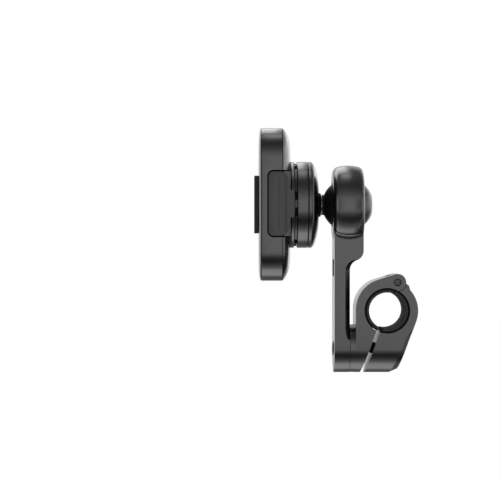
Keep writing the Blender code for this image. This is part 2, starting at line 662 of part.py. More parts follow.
def cup(low, high, steps):
    """The ball-side profile of a seat: radius against distance along the ring's axis."""
    places = [low + (high - low) * step / steps for step in range(steps + 1)]
    return [(along, math.sqrt(SEAT_RADIUS ** 2 - along ** 2)) for along in places]


def make_seats():
    half = RING_HALF_WIDTH
    outer = RING_BORE - FIT
    ring_low = half - TENSION_RING_WIDTH
    spans = {"front_seat": (-half + RING_LIP + FIT, -FIT), "rear_seat": (FIT, ring_low - FIT)}
    for name, (low, high) in spans.items():
        profile = [(low, outer), (high, outer)] + list(reversed(cup(low, high, 3)))
        complete(turned(name, profile, FINE, centre=BALL), BALL, BALL_CENTRE, NYLON)
    profile = [(ring_low, outer), (half, outer)] + list(reversed(cup(ring_low, half, 2)))
    ring = turned("tension_ring", profile, FINE, centre=BALL)
    slot_half = SPANNER_SLOT / 2
    slot = [(-slot_half, -RING_BORE), (slot_half, -RING_BORE)]
    slot += [(slot_half, RING_BORE), (-slot_half, RING_BORE)]
    for quarter in range(2):
        cutter = prism("slot", slot, half - SPANNER_SLOT_DEPTH, half + OVERCUT, "X")
        cutter.data.transform(Matrix.Translation(BALL) @ Matrix.Rotation(quarter * math.pi / 2, 4, "X"))
        carve(ring, cutter)
    complete(ring, BALL, ARM_AXIS, BLACK_STEEL)


def make_ball_stud():
    flat_radius = math.sqrt(BALL_RADIUS ** 2 - BALL_FLAT ** 2)
    back = math.atan2(flat_radius, BALL_FLAT)
    front = math.pi - math.asin(NECK_RADIUS / BALL_RADIUS)
    neck_end = -BALL_RADIUS + FIT
    stud_end = DETENT_X - BALL_X + DISC_WEB
    tip_hole = SPINDLE_SCREW_RADIUS + FIT
    profile = [(BALL_FLAT, 0)] + arc((0, 0), BALL_RADIUS, back, front, 10)
    profile += [(neck_end, NECK_RADIUS), (neck_end, STUD_RADIUS), (stud_end, STUD_RADIUS)]
    profile += [(stud_end, tip_hole), (stud_end + STUD_THREAD, tip_hole), (stud_end + STUD_THREAD, 0)]
    stud = turned("ball_stud", profile, FINE, centre=BALL)
    key = rounded_rectangle(KEY_SIDE / 2, KEY_SIDE / 2, KEY_CORNER, 2)
    key = [(y, z + BALL_Z) for y, z in key]
    flat_x = BALL_X + BALL_FLAT
    carve(stud, prism("key", key, flat_x - KEY_DEPTH, flat_x + OVERCUT, "X"))
    complete(stud, BALL, BALL_CENTRE, BLACK_STEEL)
    hole = STUD_RADIUS + FIT
    place = {"centre": (0, 0, BALL_Z)}
    ring_high = BALL_X + neck_end - FIT
    ring_low = ring_high - NECK_RING_WIDTH
    ring = tube("neck_ring", hole, NECK_RADIUS + FIT, ring_low, ring_high, MEDIUM, **place)
    complete(ring, BALL, BALL_CENTRE, STEEL)
    collar = tube("neck_collar", hole, COLLAR_RADIUS, DOME_X + FIT, ring_low - FIT, MEDIUM, **place)
    complete(collar, BALL, BALL_CENTRE, BLACK_STEEL)


def make_disc():
    hole = STUD_RADIUS + FIT
    place = {"centre": (0, 0, BALL_Z)}
    rim = DISC_X + DOME_RIM
    depth, width = DOME_X - rim, DISC_RADIUS - DOME_FLAT_RADIUS

    def dome(offset, steps):
        sweep = [math.pi / 2 * step / steps for step in range(steps + 1)]
        return [(rim + (depth - offset) * math.sin(a), DOME_FLAT_RADIUS + (width - offset) * math.cos(a))
                for a in sweep]

    low = DISC_X + FIT / 2
    profile = [(low, DISC_RADIUS - SHELL_WALL), (low, DISC_RADIUS)] + dome(0, 6)
    profile += [(DOME_X, hole), (DOME_X - SHELL_WALL, hole)]
    profile += list(reversed(dome(SHELL_WALL, 4)))
    shell = turned("rear_dome", profile, FINE, **place)
    for y, z in disc_screw_places():
        post = rod("post", DISC_POST_RADIUS, low, DOME_X - depth / 3, COARSE, centre=(0, y, z))
        carve(shell, post, "UNION")
        carve(shell, rod("post_hole", SCREW_SHANK_RADIUS + FIT, low - OVERCUT, low + SCREW_GRIP, COARSE,
                         centre=(0, y, z)))
    complete(shell, BALL, BALL_CENTRE, ANODISED)

    low, high = DETENT_X + FIT / 2, DISC_X - FIT / 2
    profile = [(low, hole), (low, DISC_RADIUS), (high, DISC_RADIUS), (high, DISC_RADIUS - SHELL_WALL)]
    profile += [(low + DISC_WEB, DISC_RADIUS - SHELL_WALL), (low + DISC_WEB, hole)]
    disc = turned("base_disc", profile, FINE, **place)
    for index, (y, z) in enumerate(disc_screw_places()):
        post = rod("post", DISC_POST_RADIUS, low + DISC_WEB / 2, high, COARSE, centre=(0, y, z))
        carve(disc, post, "UNION", "MANIFOLD")
        counter = low + SCREW_HEAD_LENGTH + 2 * FIT
        bores = [(low - OVERCUT, SCREW_HEAD_RADIUS + FIT), (counter, SCREW_SHANK_RADIUS + FIT)]
        cutter = stepped_hole("hole", bores, high + OVERCUT, COARSE, centre=(0, y, z))
        carve(disc, cutter, solver="MANIFOLD")
        screw = socket_screw(f"disc_screw_{index + 1}", SCREW_SHANK_RADIUS, SCREW_HEAD_RADIUS,
                             -(high + SCREW_GRIP - FIT), -(counter - FIT), -(low + FIT), COARSE,
                             centre=(0, y, z), spin=math.pi)
        complete(screw, BALL, BALL_CENTRE, STEEL)
    complete(disc, BALL, BALL_CENTRE, ANODISED)


def disc_screw_places():
    """Four screws on a circle, between the disc's quarter lines."""
    return [(y, z + BALL_Z) for y, z in arc((0, 0), DISC_SCREW_CIRCLE, math.pi / 4, 7 * math.pi / 4, 3)]


def make_detent_ring():
    low, high = LOCK_X + FIT / 2, DETENT_X - FIT / 2
    outer = DISC_RADIUS - FIT
    quarter = [math.radians(angle) for angle in DETENT_WINDOW_ANGLES]
    windows = [turn * math.pi / 2 + angle for turn in range(4) for angle in quarter]
    outline = []
    for angle, following in zip(windows, windows[1:] + [windows[0] + 2 * math.pi]):
        start, end = angle - DETENT_WINDOW / 2, angle + DETENT_WINDOW / 2
        outline += arc((0, BALL_Z), DETENT_ROOT, start, end, 2)
        outline += arc((0, BALL_Z), outer, end, following - DETENT_WINDOW / 2, 3)
    ring = prism("detent_ring", outline, low, high, "X")
    carve(ring, rod("hole", SPINDLE_SCREW_RADIUS + FIT, low - OVERCUT, high + OVERCUT, COARSE,
                    centre=(0, 0, BALL_Z)))
    complete(ring, BALL, BALL_CENTRE, BLACK_STEEL)


def make_spindle():
    place = {"centre": (0, 0, BALL_Z)}
    lock = tube("lock_ring", SPINDLE_RADIUS + FIT, DISC_RADIUS, LOCK_FRONT, LOCK_X - FIT / 2, FINE, **place)
    complete(lock, BALL, BALL_CENTRE, ANODISED)
    washer_high = BACK_X - HUB_DEPTH - RUN
    washer_low = washer_high - WASHER_THICKNESS
    flange_high = washer_low - FIT
    flange_low = flange_high - SPINDLE_FLANGE
    shaft_end = LOCK_X - FIT / 2
    head_radius = SPINDLE_HEAD_RADIUS
    counter = flange_low + SPINDLE_HEAD_LENGTH + 2 * FIT
    profile = [(flange_low, head_radius + FIT), (flange_low, SPINDLE_FLANGE_RADIUS)]
    profile += [(flange_high, SPINDLE_FLANGE_RADIUS), (flange_high, SPINDLE_RADIUS)]
    profile.append((shaft_end, SPINDLE_RADIUS))
    profile += [(shaft_end, SPINDLE_SCREW_RADIUS + FIT), (counter, SPINDLE_SCREW_RADIUS + FIT)]
    profile.append((counter, head_radius + FIT))
    complete(turned("spindle", profile, MEDIUM, **place), BALL, BALL_CENTRE, STEEL)
    washer = tube("spindle_washer", SPINDLE_RADIUS + FIT, SPINDLE_FLANGE_RADIUS, washer_low, washer_high,
                  MEDIUM, **place)
    complete(washer, BALL, BALL_CENTRE, STEEL)
    tip = DETENT_X + DISC_WEB + STUD_THREAD - FIT
    screw = socket_screw("spindle_screw", SPINDLE_SCREW_RADIUS, head_radius, -tip, -(counter - FIT),
                         -(flange_low + FIT), FINE // 2, spin=math.pi, **place)
    complete(screw, BALL, BALL_CENTRE, BLACK_STEEL)


def head_outline(inset, steps):
    """The head's rounded front view, drawn in by an inset, as (y, z) in the world."""
    outline = rounded_rectangle(HEAD_HALF_WIDTH - inset, HEAD_HALF_HEIGHT - inset,
                                max(HEAD_CORNER - inset, HEAD_CORNER / 20), steps)
    return [(y, z + BALL_Z) for y, z in outline]


def head_layers(name, layers, steps=6):
    """A solid through insets of the head's outline: each layer is (x, inset)."""
    return bridged(name, [[(x, y, z) for y, z in head_outline(inset, steps)] for x, inset in layers])


def cover_screw_places():
    return [(y * COVER_SCREW_Y, z * COVER_SCREW_Z + BALL_Z) for y, z in ((1, 1), (-1, 1), (-1, -1), (1, -1))]


def lever_outline():
    """The side lever seen along the bar: (x, z)."""
    half, tab, corner = LEVER_HALF_HEIGHT, TAB_HALF_HEIGHT, LEVER_CORNER
    front, rear = LEVER_FRONT, LOCK_FRONT + TAB_REACH
    waist = BACK_X
    centre_z = half - corner
    outline = [(rear, BALL_Z - tab), (rear, BALL_Z + tab), (waist, BALL_Z + tab)]
    sweep = [(waist - LEVER_SHOULDER * (1 - math.cos(a)), BALL_Z + tab + (half - tab) * math.sin(a))
             for a in (math.pi / 2 * step / 5 for step in range(1, 6))]
    outline += sweep
    outline += arc((front + corner, BALL_Z + centre_z), corner, math.pi / 2, math.pi, 4)
    outline += arc((front + corner, BALL_Z - centre_z), corner, math.pi, 3 * math.pi / 2, 4)
    outline += [(x, 2 * BALL_Z - z) for x, z in reversed(sweep)]
    outline.append((waist, BALL_Z - tab))
    return outline


def lever_pocket(side):
    """The recess for a lever, open to the head's flank and its back."""
    half = LEVER_HALF_HEIGHT + LEVER_GAP
    front, corner = LEVER_FRONT - LEVER_GAP, LEVER_CORNER + LEVER_GAP
    outline = [(LOCK_X, BALL_Z - half), (LOCK_X, BALL_Z + half)]
    outline += arc((front + corner, BALL_Z + half - corner), corner, math.pi / 2, math.pi, 4)
    outline += arc((front + corner, BALL_Z - half + corner), corner, math.pi, 3 * math.pi / 2, 4)
    near, far = sorted((side * LEVER_FLOOR, side * (HEAD_HALF_WIDTH + OVERCUT)))
    return prism("lever_pocket", outline, near, far, "Y")


def make_back_cover():
    layers = []
    for share in BACK_STEPS:
        layers.append((BACK_X - BACK_DEPTH * (1 - share) ** 2, BACK_BORDER * share))
    layers[0] = (HEAD_SEAM_X + FIT / 2, 0)
    cover = head_layers("back_cover", layers)
    hollow = [(HEAD_SEAM_X - OVERCUT, FRAME_WALL),
              (HEAD_SEAM_X + BACK_DEPTH / 2, BACK_BORDER * BACK_HOLLOW_SHARE)]
    carve(cover, head_layers("hollow", hollow))
    for side in (-1, 1):
        carve(cover, lever_pocket(side))
    place = {"centre": (0, 0, BALL_Z)}
    hub = rod("hub", SPINDLE_FLANGE_RADIUS + FIT, BACK_X - HUB_DEPTH, BACK_X - OVERCUT / 2, MEDIUM, **place)
    carve(cover, hub, "UNION")
    carve(cover, rod("hub_hole", SPINDLE_RADIUS + RUN, HEAD_SEAM_X - OVERCUT, BACK_X + OVERCUT, MEDIUM,
                     **place))
    low = HEAD_SEAM_X + FIT / 2
    for index, (y, z) in enumerate(cover_screw_places()):
        spot = {"centre": (0, y, z)}
        post = rod("post", COVER_POST_RADIUS, low, BACK_X - OVERCUT, COARSE, **spot)
        carve(cover, post, "UNION")
        seat = BACK_X - COVER_SCREW_SINK
        bores = [(low - OVERCUT, SCREW_SHANK_RADIUS + FIT), (seat, SCREW_HEAD_RADIUS + FIT)]
        carve(cover, stepped_hole("hole", bores, BACK_X + OVERCUT, COARSE, **spot))
        head_seat = seat + FIT
        screw = socket_screw(f"cover_screw_{index + 1}", SCREW_SHANK_RADIUS, SCREW_HEAD_RADIUS,
                             low - SCREW_GRIP, head_seat, head_seat + SCREW_HEAD_LENGTH, COARSE, **spot)
        complete(screw, HEAD_AXIS.location, HEAD_AXIS, STEEL)
    complete(cover, HEAD_AXIS.location, HEAD_AXIS, ANODISED)


def make_head_frame():
    low, high = PAD_X + FIT / 2, HEAD_SEAM_X - FIT / 2
    frame = head_layers("head_frame", [(low, 0), (high, 0)])
    hollow = [(low + FRAME_WEB, FRAME_WALL), (high + OVERCUT, FRAME_WALL)]
    carve(frame, head_layers("hollow", hollow))
    for y, z in cover_screw_places():
        spot = {"centre": (0, y, z)}
        carve(frame, rod("post", COVER_POST_RADIUS, low + FRAME_WEB / 2, high, COARSE, **spot), "UNION")
        carve(frame, rod("post_hole", SCREW_SHANK_RADIUS + FIT, high - SCREW_GRIP - FIT, high + OVERCUT,
                         COARSE, **spot))
    for y, z in boss_screw_places():
        carve(frame, rod("boss_hole", SCREW_SHANK_RADIUS + FIT, low - OVERCUT, low + FRAME_WEB + OVERCUT,
                         COARSE, centre=(0, y, z)))
    for side in (-1, 1):
        carve(frame, lever_pocket(side))
        groove_half = KNUCKLE_HIGH + LEVER_GAP
        near, far = sorted((side * (LEVER_PIN_Y - LEVER_KNUCKLE_RADIUS - RUN), side * HEAD_HALF_WIDTH))
        front = LEVER_PIN_X - LEVER_KNUCKLE_RADIUS - LEVER_GAP
        groove = [(front, near), (high + OVERCUT, near), (high + OVERCUT, far), (front, far)]
        carve(frame, prism("groove", groove, BALL_Z - groove_half, BALL_Z + groove_half, "Z"))
        pin_hole_outline = arc((LEVER_PIN_X, side * LEVER_PIN_Y), LEVER_PIN_RADIUS + FIT, 0,
                               2 * math.pi * (1 - 1 / COARSE), COARSE - 1)
        reach = LEVER_PIN_HALF_LENGTH + FIT
        carve(frame, prism("lever_pin_hole", pin_hole_outline, BALL_Z - reach, BALL_Z + reach, "Z"))
        floor = LEVER_INNER - FIT - SPRING_LENGTH - FIT
        carve(frame, rod("spring_hole", SPRING_RADIUS + SPRING_WIRE + FIT, floor, LEVER_INNER, COARSE,
                         centre=(HEAD_SEAM_X - SPRING_AHEAD, 0, BALL_Z), spin=side * math.pi / 2))
    complete(frame, HEAD_AXIS.location, HEAD_AXIS, ANODISED)


def boss_screw_places():
    half = BOSS_SCREW_SPACING / 2
    return [(y * half, z * half + BALL_Z) for y, z in ((1, 1), (-1, 1), (-1, -1), (1, -1))]


def make_front():
    edge = PAD_DEPTH
    layers = [(FRONT_X, edge)]
    for angle in (30, 60, 90):
        turn = math.radians(angle)
        layers.append((FRONT_X + edge * (1 - math.cos(turn)), edge * (1 - math.sin(turn))))
    layers[-1] = (PAD_X - FIT / 2, 0)
    pad = head_layers("front_pad", layers)
    boss_front, boss_back = FRONT_X - BOSS_DEPTH, FRONT_X - FIT
    half = BOSS_SIDE / 2

    def square(inset, x):
        ring = rounded_rectangle(half - inset, half - inset, BOSS_CORNER - inset, 4)
        return [(x, y, z + BALL_Z) for y, z in ring]

    boss = bridged("lock_boss", [square(BOSS_EDGE, boss_front), square(0, boss_front + BOSS_EDGE),
                                 square(0, boss_back - BOSS_EDGE), square(BOSS_EDGE, boss_back)])
    plate_low = PAD_X + FIT / 2 + FRAME_WEB + FIT
    plate_high = plate_low + PLATE_THICKNESS
    plate_outline = rounded_rectangle(PLATE_SIDE / 2, PLATE_SIDE / 2, BOSS_CORNER, 3)
    plate_outline = [(y, z + BALL_Z) for y, z in plate_outline]
    plate = prism("backing_plate", plate_outline, plate_low, plate_high, "X")
    tip = boss_front + BOSS_DEPTH / 2
    for index, (y, z) in enumerate(boss_screw_places()):
        spot = {"centre": (0, y, z)}
        hole = SCREW_SHANK_RADIUS + FIT
        carve(pad, rod("pad_hole", hole, FRONT_X - OVERCUT, PAD_X + OVERCUT, COARSE, **spot))
        carve(boss, rod("boss_hole", hole, tip - FIT, boss_back + OVERCUT, COARSE, **spot))
        carve(plate, rod("plate_hole", hole, plate_low - OVERCUT, plate_high + OVERCUT, COARSE, **spot))
        seat = plate_high + FIT
        screw = socket_screw(f"boss_screw_{index + 1}", SCREW_SHANK_RADIUS, SCREW_HEAD_RADIUS, tip, seat,
                             seat + SCREW_HEAD_LENGTH, COARSE, **spot)
        complete(screw, HEAD_AXIS.location, HEAD_AXIS, STEEL)
    complete(pad, HEAD_AXIS.location, HEAD_AXIS, SILICONE)
    complete(boss, HEAD_AXIS.location, HEAD_AXIS, NYLON)
    complete(plate, HEAD_AXIS.location, HEAD_AXIS, STEEL)


def make_lever(name, side):
    pivot = Vector((LEVER_PIN_X, side * LEVER_PIN_Y, BALL_Z))
    axis = joint_empty(f"lever_axis_{name}", pivot)
    near, far = sorted((side * LEVER_INNER, side * HEAD_HALF_WIDTH))
    lever = prism(f"side_lever_{name}", lever_outline(), near, far, "Y")
    around = 2 * math.pi * (1 - 1 / COARSE)
    centre = (pivot.x, pivot.y)
    for end in (-1, 1):
        low, high = sorted((BALL_Z + end * KNUCKLE_LOW, BALL_Z + end * KNUCKLE_HIGH))
        knuckle = prism("knuckle", arc(centre, LEVER_KNUCKLE_RADIUS, 0, around, COARSE - 1), low, high, "Z")
        carve(lever, knuckle, "UNION")
    reach = LEVER_PIN_HALF_LENGTH
    bore = prism("bore", arc(centre, LEVER_PIN_RADIUS + FIT, 0, around, COARSE - 1),
                 BALL_Z - reach, BALL_Z + reach, "Z")
    carve(lever, bore)
    complete(lever, pivot, axis, ANODISED)
    pin = prism(f"lever_pin_{name}", arc(centre, LEVER_PIN_RADIUS, 0, around, COARSE - 1),
                BALL_Z - reach, BALL_Z + reach, "Z")
    complete(pin, HEAD_AXIS.location, HEAD_AXIS, STEEL)


def make_lever_spring(name, side):
    """A coil spring behind the front of a lever, pressed between it and the frame."""
    low = LEVER_INNER - FIT - SPRING_LENGTH
    coil = bpy.data.curves.new(f"lever_spring_{name}", "CURVE")
    coil.dimensions = "3D"
    coil.bevel_depth = SPRING_WIRE / 2
    coil.bevel_resolution = 1
    coil.use_fill_caps = True
    points_per_turn = 8
    count = SPRING_TURNS * points_per_turn
    line = coil.splines.new("POLY")
    line.points.add(count)
    wire = SPRING_WIRE / 2
    for index, point in enumerate(line.points):
        angle = 2 * math.pi * index / points_per_turn
        depth = low + wire + (SPRING_LENGTH - 2 * wire) * index / count
        spot = (HEAD_SEAM_X - SPRING_AHEAD + SPRING_RADIUS * math.cos(angle), side * depth,
                BALL_Z + SPRING_RADIUS * math.sin(angle))
        point.co = (*(Vector(spot) - HEAD_AXIS.location), 1)
    spring = bpy.data.objects.new(f"lever_spring_{name}", coil)
    bpy.context.scene.collection.objects.link(spring)
    spring.parent = HEAD_AXIS
    coil.materials.append(finish(spring.name, *STEEL))


make_clamp_body()
make_clamp_jaw()
make_shims()
make_hinge_pin()
make_pinch_bolt()
make_pivot_bolt()
make_arm()
make_seats()
make_ball_stud()
make_disc()
make_detent_ring()
make_spindle()
make_back_cover()
make_head_frame()
make_front()
for lever_name, lever_side in (("right", -1), ("left", 1)):
    make_lever(lever_name, lever_side)
    make_lever_spring(lever_name, lever_side)
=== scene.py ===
"""Looks of the handlebar phone mount: fine surfaces and finishes over the fixed frame."""

import json
from math import acos, asin, atan2, cos, hypot, pi, radians, sin, sqrt, tan

import bmesh
import bpy
from mathutils import Matrix, Vector

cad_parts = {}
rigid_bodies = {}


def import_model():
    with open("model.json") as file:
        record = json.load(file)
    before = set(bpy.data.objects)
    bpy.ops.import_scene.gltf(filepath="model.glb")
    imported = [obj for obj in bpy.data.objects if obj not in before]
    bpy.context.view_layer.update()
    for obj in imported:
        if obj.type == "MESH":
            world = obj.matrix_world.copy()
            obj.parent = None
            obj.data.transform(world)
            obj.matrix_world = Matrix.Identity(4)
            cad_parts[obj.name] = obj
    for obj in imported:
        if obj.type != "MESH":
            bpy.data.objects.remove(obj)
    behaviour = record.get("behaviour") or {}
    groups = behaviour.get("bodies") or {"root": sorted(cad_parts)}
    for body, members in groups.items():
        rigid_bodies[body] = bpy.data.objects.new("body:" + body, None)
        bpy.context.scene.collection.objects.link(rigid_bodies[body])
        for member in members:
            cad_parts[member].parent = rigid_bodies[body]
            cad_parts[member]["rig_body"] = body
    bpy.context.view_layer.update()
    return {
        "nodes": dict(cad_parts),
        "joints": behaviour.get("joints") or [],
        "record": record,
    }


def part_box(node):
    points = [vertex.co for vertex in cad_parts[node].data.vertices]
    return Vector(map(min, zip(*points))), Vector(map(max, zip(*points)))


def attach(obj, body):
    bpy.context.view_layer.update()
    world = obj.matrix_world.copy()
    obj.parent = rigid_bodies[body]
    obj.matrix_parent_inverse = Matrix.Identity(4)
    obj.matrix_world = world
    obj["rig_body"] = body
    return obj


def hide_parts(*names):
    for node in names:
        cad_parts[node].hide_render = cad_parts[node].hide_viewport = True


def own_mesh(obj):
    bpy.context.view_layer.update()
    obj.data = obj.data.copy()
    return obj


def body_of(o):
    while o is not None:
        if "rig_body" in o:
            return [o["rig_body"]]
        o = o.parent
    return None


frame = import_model()
JOINTS = {joint["name"]: joint for joint in frame["joints"]}

# Places taken from the frame
HINGE = Vector(JOINTS["jaw_hinge"]["pos_m"])
HINGE_XZ = (HINGE.x, HINGE.z)
PIVOT = Vector(JOINTS["arm_swivel"]["pos_m"])
PIVOT_AXIS = (0, 0, PIVOT.z)
BALL = Vector(JOINTS["ball_tilt"]["pos_m"])
DISC_AXIS = (0, 0, BALL.z)
LEVER_PIN = Vector(JOINTS["lever_right_press"]["pos_m"])
LEAN = atan2(HINGE.x, HINGE.z)     # of the line through hinge, bore and slit
CLAMP_LOW, CLAMP_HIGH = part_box("clamp_body")
JAW_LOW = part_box("clamp_jaw")[0]
ARM_LOW, ARM_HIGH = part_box("arm")
STUD_LOW, STUD_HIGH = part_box("ball_stud")
DISC_LOW, DISC_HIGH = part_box("base_disc")
DOME_LOW, DOME_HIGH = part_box("rear_dome")
COVER_LOW, COVER_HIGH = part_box("back_cover")
FRAME_LOW, FRAME_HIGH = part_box("head_frame")
PAD_LOW, PAD_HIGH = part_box("front_pad")
LEVER_LOW, LEVER_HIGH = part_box("side_lever_right")
SHIM_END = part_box("shim_fixed")[1].y

# Shared by all pieces
GAP = 0.0003                    # between pieces that touch
OVERCUT = 0.002                 # how far a cutter reaches past a wall
ROUND, SMALL = 96, 32           # steps round a full circle
QUARTERS = ((1, 1), (-1, 1), (-1, -1), (1, -1))
NEAR_AXIS = 0.0001              # stands in for the axis while an outline is softened

# Clamp
BAR_RADIUS = 0.0159
SHIM_BORE = 0.0127
# The faces in this groove are painted matte black as painted shade.
SHIM_GROOVE_WIDTH = 0.0014      # dark groove between the shim's face and the clamp
SHIM_GROOVE_DEPTH = 0.0016
SHIM_FILLETS = (0.0005, 0.0004, 0.0003)     # at the bore, at the groove and at the outside
SHIM_START = pi / 2 - LEAN
SHIM_HINGE_PULL, SHIM_SLIT_PULL = radians(2), radians(5.6)
HALF_WIDTH = CLAMP_HIGH.y
FLANK_REACH = 8 * HALF_WIDTH    # past the ends of clamp and arm
BODY_RADIUS = 0.0219
BODY_RISE = 0.0008
JAW_RADIUS = 0.0215
JAW_TOP = radians(42)      # where the jaw's round back ends
SHOULDER_OUT, SHOULDER_DROP = 0.0015, 0.0022    # of the jaw's shoulder beside the knuckle
KNUCKLE_RADIUS = 0.006
KNUCKLE_ROOM = 0.0064
KNUCKLE_START = -LEAN - radians(80)
TONGUE_HALF = 0.006
TONGUE_START, TONGUE_ROOT = radians(30), 0.0028
TONGUE_SINK = 0.0005            # how far the tongue reaches into the shoulder
SLOT_HALF = 0.0064
SLOT_RADIUS = 0.0083            # the slot's rounded end on top of the clamp
SLIT_LEFT, SLIT_RIGHT = -0.0023, 0.0003
JAW_CHAMFER, JAW_CHAMFER_RATIO, JAW_CHAMFER_RUN = 0.0027, 0.74, 0.0065
JAW_CHAMFER_TOP = -0.007        # where it starts, along the jaw's lower face
NO_CHAMFER = -OVERCUT / 8       # a width at which the cutter stays outside
PIN_RADIUS, PIN_HOLE, PIN_FILLET = 0.0024, 0.0027, 0.0004
PINCH_REACH = 0.0282
PINCH = Vector((-PINCH_REACH * sin(LEAN), 0, -PINCH_REACH * cos(LEAN)))
PINCH_THREAD, PINCH_THREAD_END = 0.0038, -0.0108
BOLT_HOLE, BOLT_SEAT, BOLT_HEAD_ROOM = 0.0029, 0.0145, 0.00465
SLEEVE_RADIUS, SLEEVE_END, SLEEVE_FILLET = 0.004, 0.0058, 0.0002
PIVOT_THREAD, PIVOT_THREAD_DEPTH = 0.0033, 0.0056

# Arm and ball
ARM_LEFT = ARM_LOW.x + 0.0008           # the ring head stands this far proud of the arm's left face
ARM_RIGHT = PIVOT.x - GAP / 2
UPPER_RIGHT = ARM_LEFT + 0.0203
ARM_NARROW_TOP, ARM_THICK_BOTTOM = 0.0285, 0.042
ARM_CHAMFER = 0.0034
ARM_CHAMFER_BOTTOM, ARM_CHAMFER_FULL = -0.0205, -0.0125
PIVOT_HOLE, PIVOT_HEAD_ROOM, PIVOT_HEAD_SINK = 0.0034, 0.0054, 0.0054
POCKET_HALF_WIDTH, POCKET_HALF_HEIGHT, POCKET_CORNER = 0.010, 0.006, 0.003
POCKET_Z, POCKET_DEPTH = 0.030, 0.0008
RING_HALF = (ARM_HIGH.x - ARM_LOW.x) / 2
RING_RADIUS = ARM_HIGH.y
RING_CROWN = 0.0021
RING_EDGE_FILLET = 0.005
RING_STOP = radians(26)    # the round at the ring head's right end stops this short of a quarter turn
RING_END = RING_HALF - RING_EDGE_FILLET * (1 - cos(RING_STOP))
COLLAR_STEP, COLLAR_FILLET = 0.0006, 0.005
RING_BORE = 0.0211
RING_LIP = 0.0012
SEAT_RADIUS = 0.0187
TENSION_WIDTH, TENSION_FILLET = 0.0031, 0.0004
SPANNER_HALF, SPANNER_DEPTH = 0.0012, 0.0012
BALL_RADIUS = STUD_HIGH.y
BALL_FLAT = STUD_HIGH.x - BALL.x
BALL_EDGE, BALL_EDGE_TURN = 0.0006, 0.03    # round the flat on the ball's back
# Past this the ball's back gets the brighter steel finish as painted light.
BALL_REAR = 0.006               # from the ball's middle to where its bright back starts
KEY_HALF, KEY_CORNER, KEY_DEPTH = 0.0025, 0.0006, 0.004
NECK_RADIUS, NECK_HOLE, NECK_FILLET = 0.0072, 0.0053, 0.0003
STUD_RADIUS, STUD_THREAD = 0.005, 0.008
SPINDLE_HOLE = 0.0028

# Disc
SCREW_HOLE, SCREW_SINK, SCREW_GRIP = 0.0015, 0.0025, 0.005
SHELL_WALL = 0.002
DOME_FLAT, DOME_RIM = 0.0094, 0.00165
DOME_EDGE_WIDTH, DOME_EDGE_DEPTH = 0.0004, 0.0003
# Within this radius the dome's back is painted matte black, as painted shade from the arm and the ball.
DOME_SHADE_RADIUS = 0.0195            # radius of the dome's dark middle
DISC_POST, DISC_WEB, DISC_SCREW_SEAT = 0.0028, 0.0025, 0.002
DISC_FRONT_FILLET, DISC_REAR_FILLET = 0.0005, 0.0004
DETENT_SINK, WINDOW_SINK = 0.0013, 0.003    # how far the detent ring and its windows lie below the disc
WINDOW_ANGLES = (11.0, 63.0, 78.5)          # in each quarter, from the side
WINDOW_HALF = radians(6)
LOCK_RING_BORE, LOCK_RING_FILLET = 0.0078, 0.0005
DISC_SCREW_CIRCLE = 0.021

# Phone head
HEAD_HALF_WIDTH = FRAME_HIGH.y
HEAD_HALF_HEIGHT = (FRAME_HIGH.z - FRAME_LOW.z) / 2
HEAD_CORNER = 0.022
FRAME_WALL, FRAME_WEB = 0.007, 0.0025
BACK_BORDER = 0.020
HOLLOW_BORDER = 0.75 * BACK_BORDER
BACK_STEEPNESS, BACK_SPREAD, BACK_STEPS = 3.4, 1.3, 14      # of the slope round the cover's back
EDGE_FILLET = 0.0004
SOFT_EDGE = 0.0003              # of the lever and the boss
FRONT_SHIFT, SEAM_SHIFT = 0.00045, 0.0005   # the front and rear seams lie a little behind the CAD's
PAD_ROUND = 0.012               # width of the pad's sloping border
BOSS_CORNER, BOSS_SKIN = 0.0035, 0.001
HUB_RADIUS, HUB_HOLE, HUB_DEPTH, HUB_SINK = 0.0123, 0.0079, 0.0054, 0.001
COVER_POST, COVER_SCREW_SINK = 0.0035, 0.0022
COVER_SCREWS = [(0, y * 0.008, BALL.z + z * 0.036) for y, z in QUARTERS]
BOSS_SCREWS = [(0, y * 0.010, BALL.z + z * 0.010) for y, z in QUARTERS]

# Levers
LEVER_GAP = 0.0009
LEVER_INNER = 0.031
LEVER_FLOOR = LEVER_INNER - 0.0014
LEVER_HINGE_FLOOR = 0.0276
LEVER_CORNER = 0.0035
LEVER_SHOULDER = 0.007
LEVER_HALF = (LEVER_HIGH.z - LEVER_LOW.z) / 2
TAB_HALF = 0.00945
SKIRT_FRONT, SKIRT_RISE = COVER_HIGH.x - 0.0047, 0.0015     # of the slope behind the lever's swept corners
LINE_DEPTH = 0.001              # of the cut over the cover's slope, beside the lever
LINE_LAYERS = 10                # of the cover's slope that the cut runs over
GROOVE_X, GROOVE_RADIUS, GROOVE_DEPTH, GROOVE_STEPS = -0.0732, 0.0125, 0.0004, 360
LEVER_PIN_RADIUS, LEVER_PIN_HALF = 0.0012, 0.0205
LEVER_KNUCKLE, LEVER_KNUCKLE_NEAR, LEVER_KNUCKLE_FAR = 0.002, 0.010, 0.016
HINGE_ROOM_AHEAD, HINGE_ROOM_HALF = 0.0026, 0.0166      # of the room for a lever's knuckles
SPRING_X = COVER_LOW.x - 0.00715
SPRING_RADIUS, SPRING_WIRE, SPRING_LENGTH, SPRING_TURNS = 0.0016, 0.0005, 0.0038, 3
SPRING_HOLE, SPRING_HOLE_FLOOR = 0.0024, 0.0266

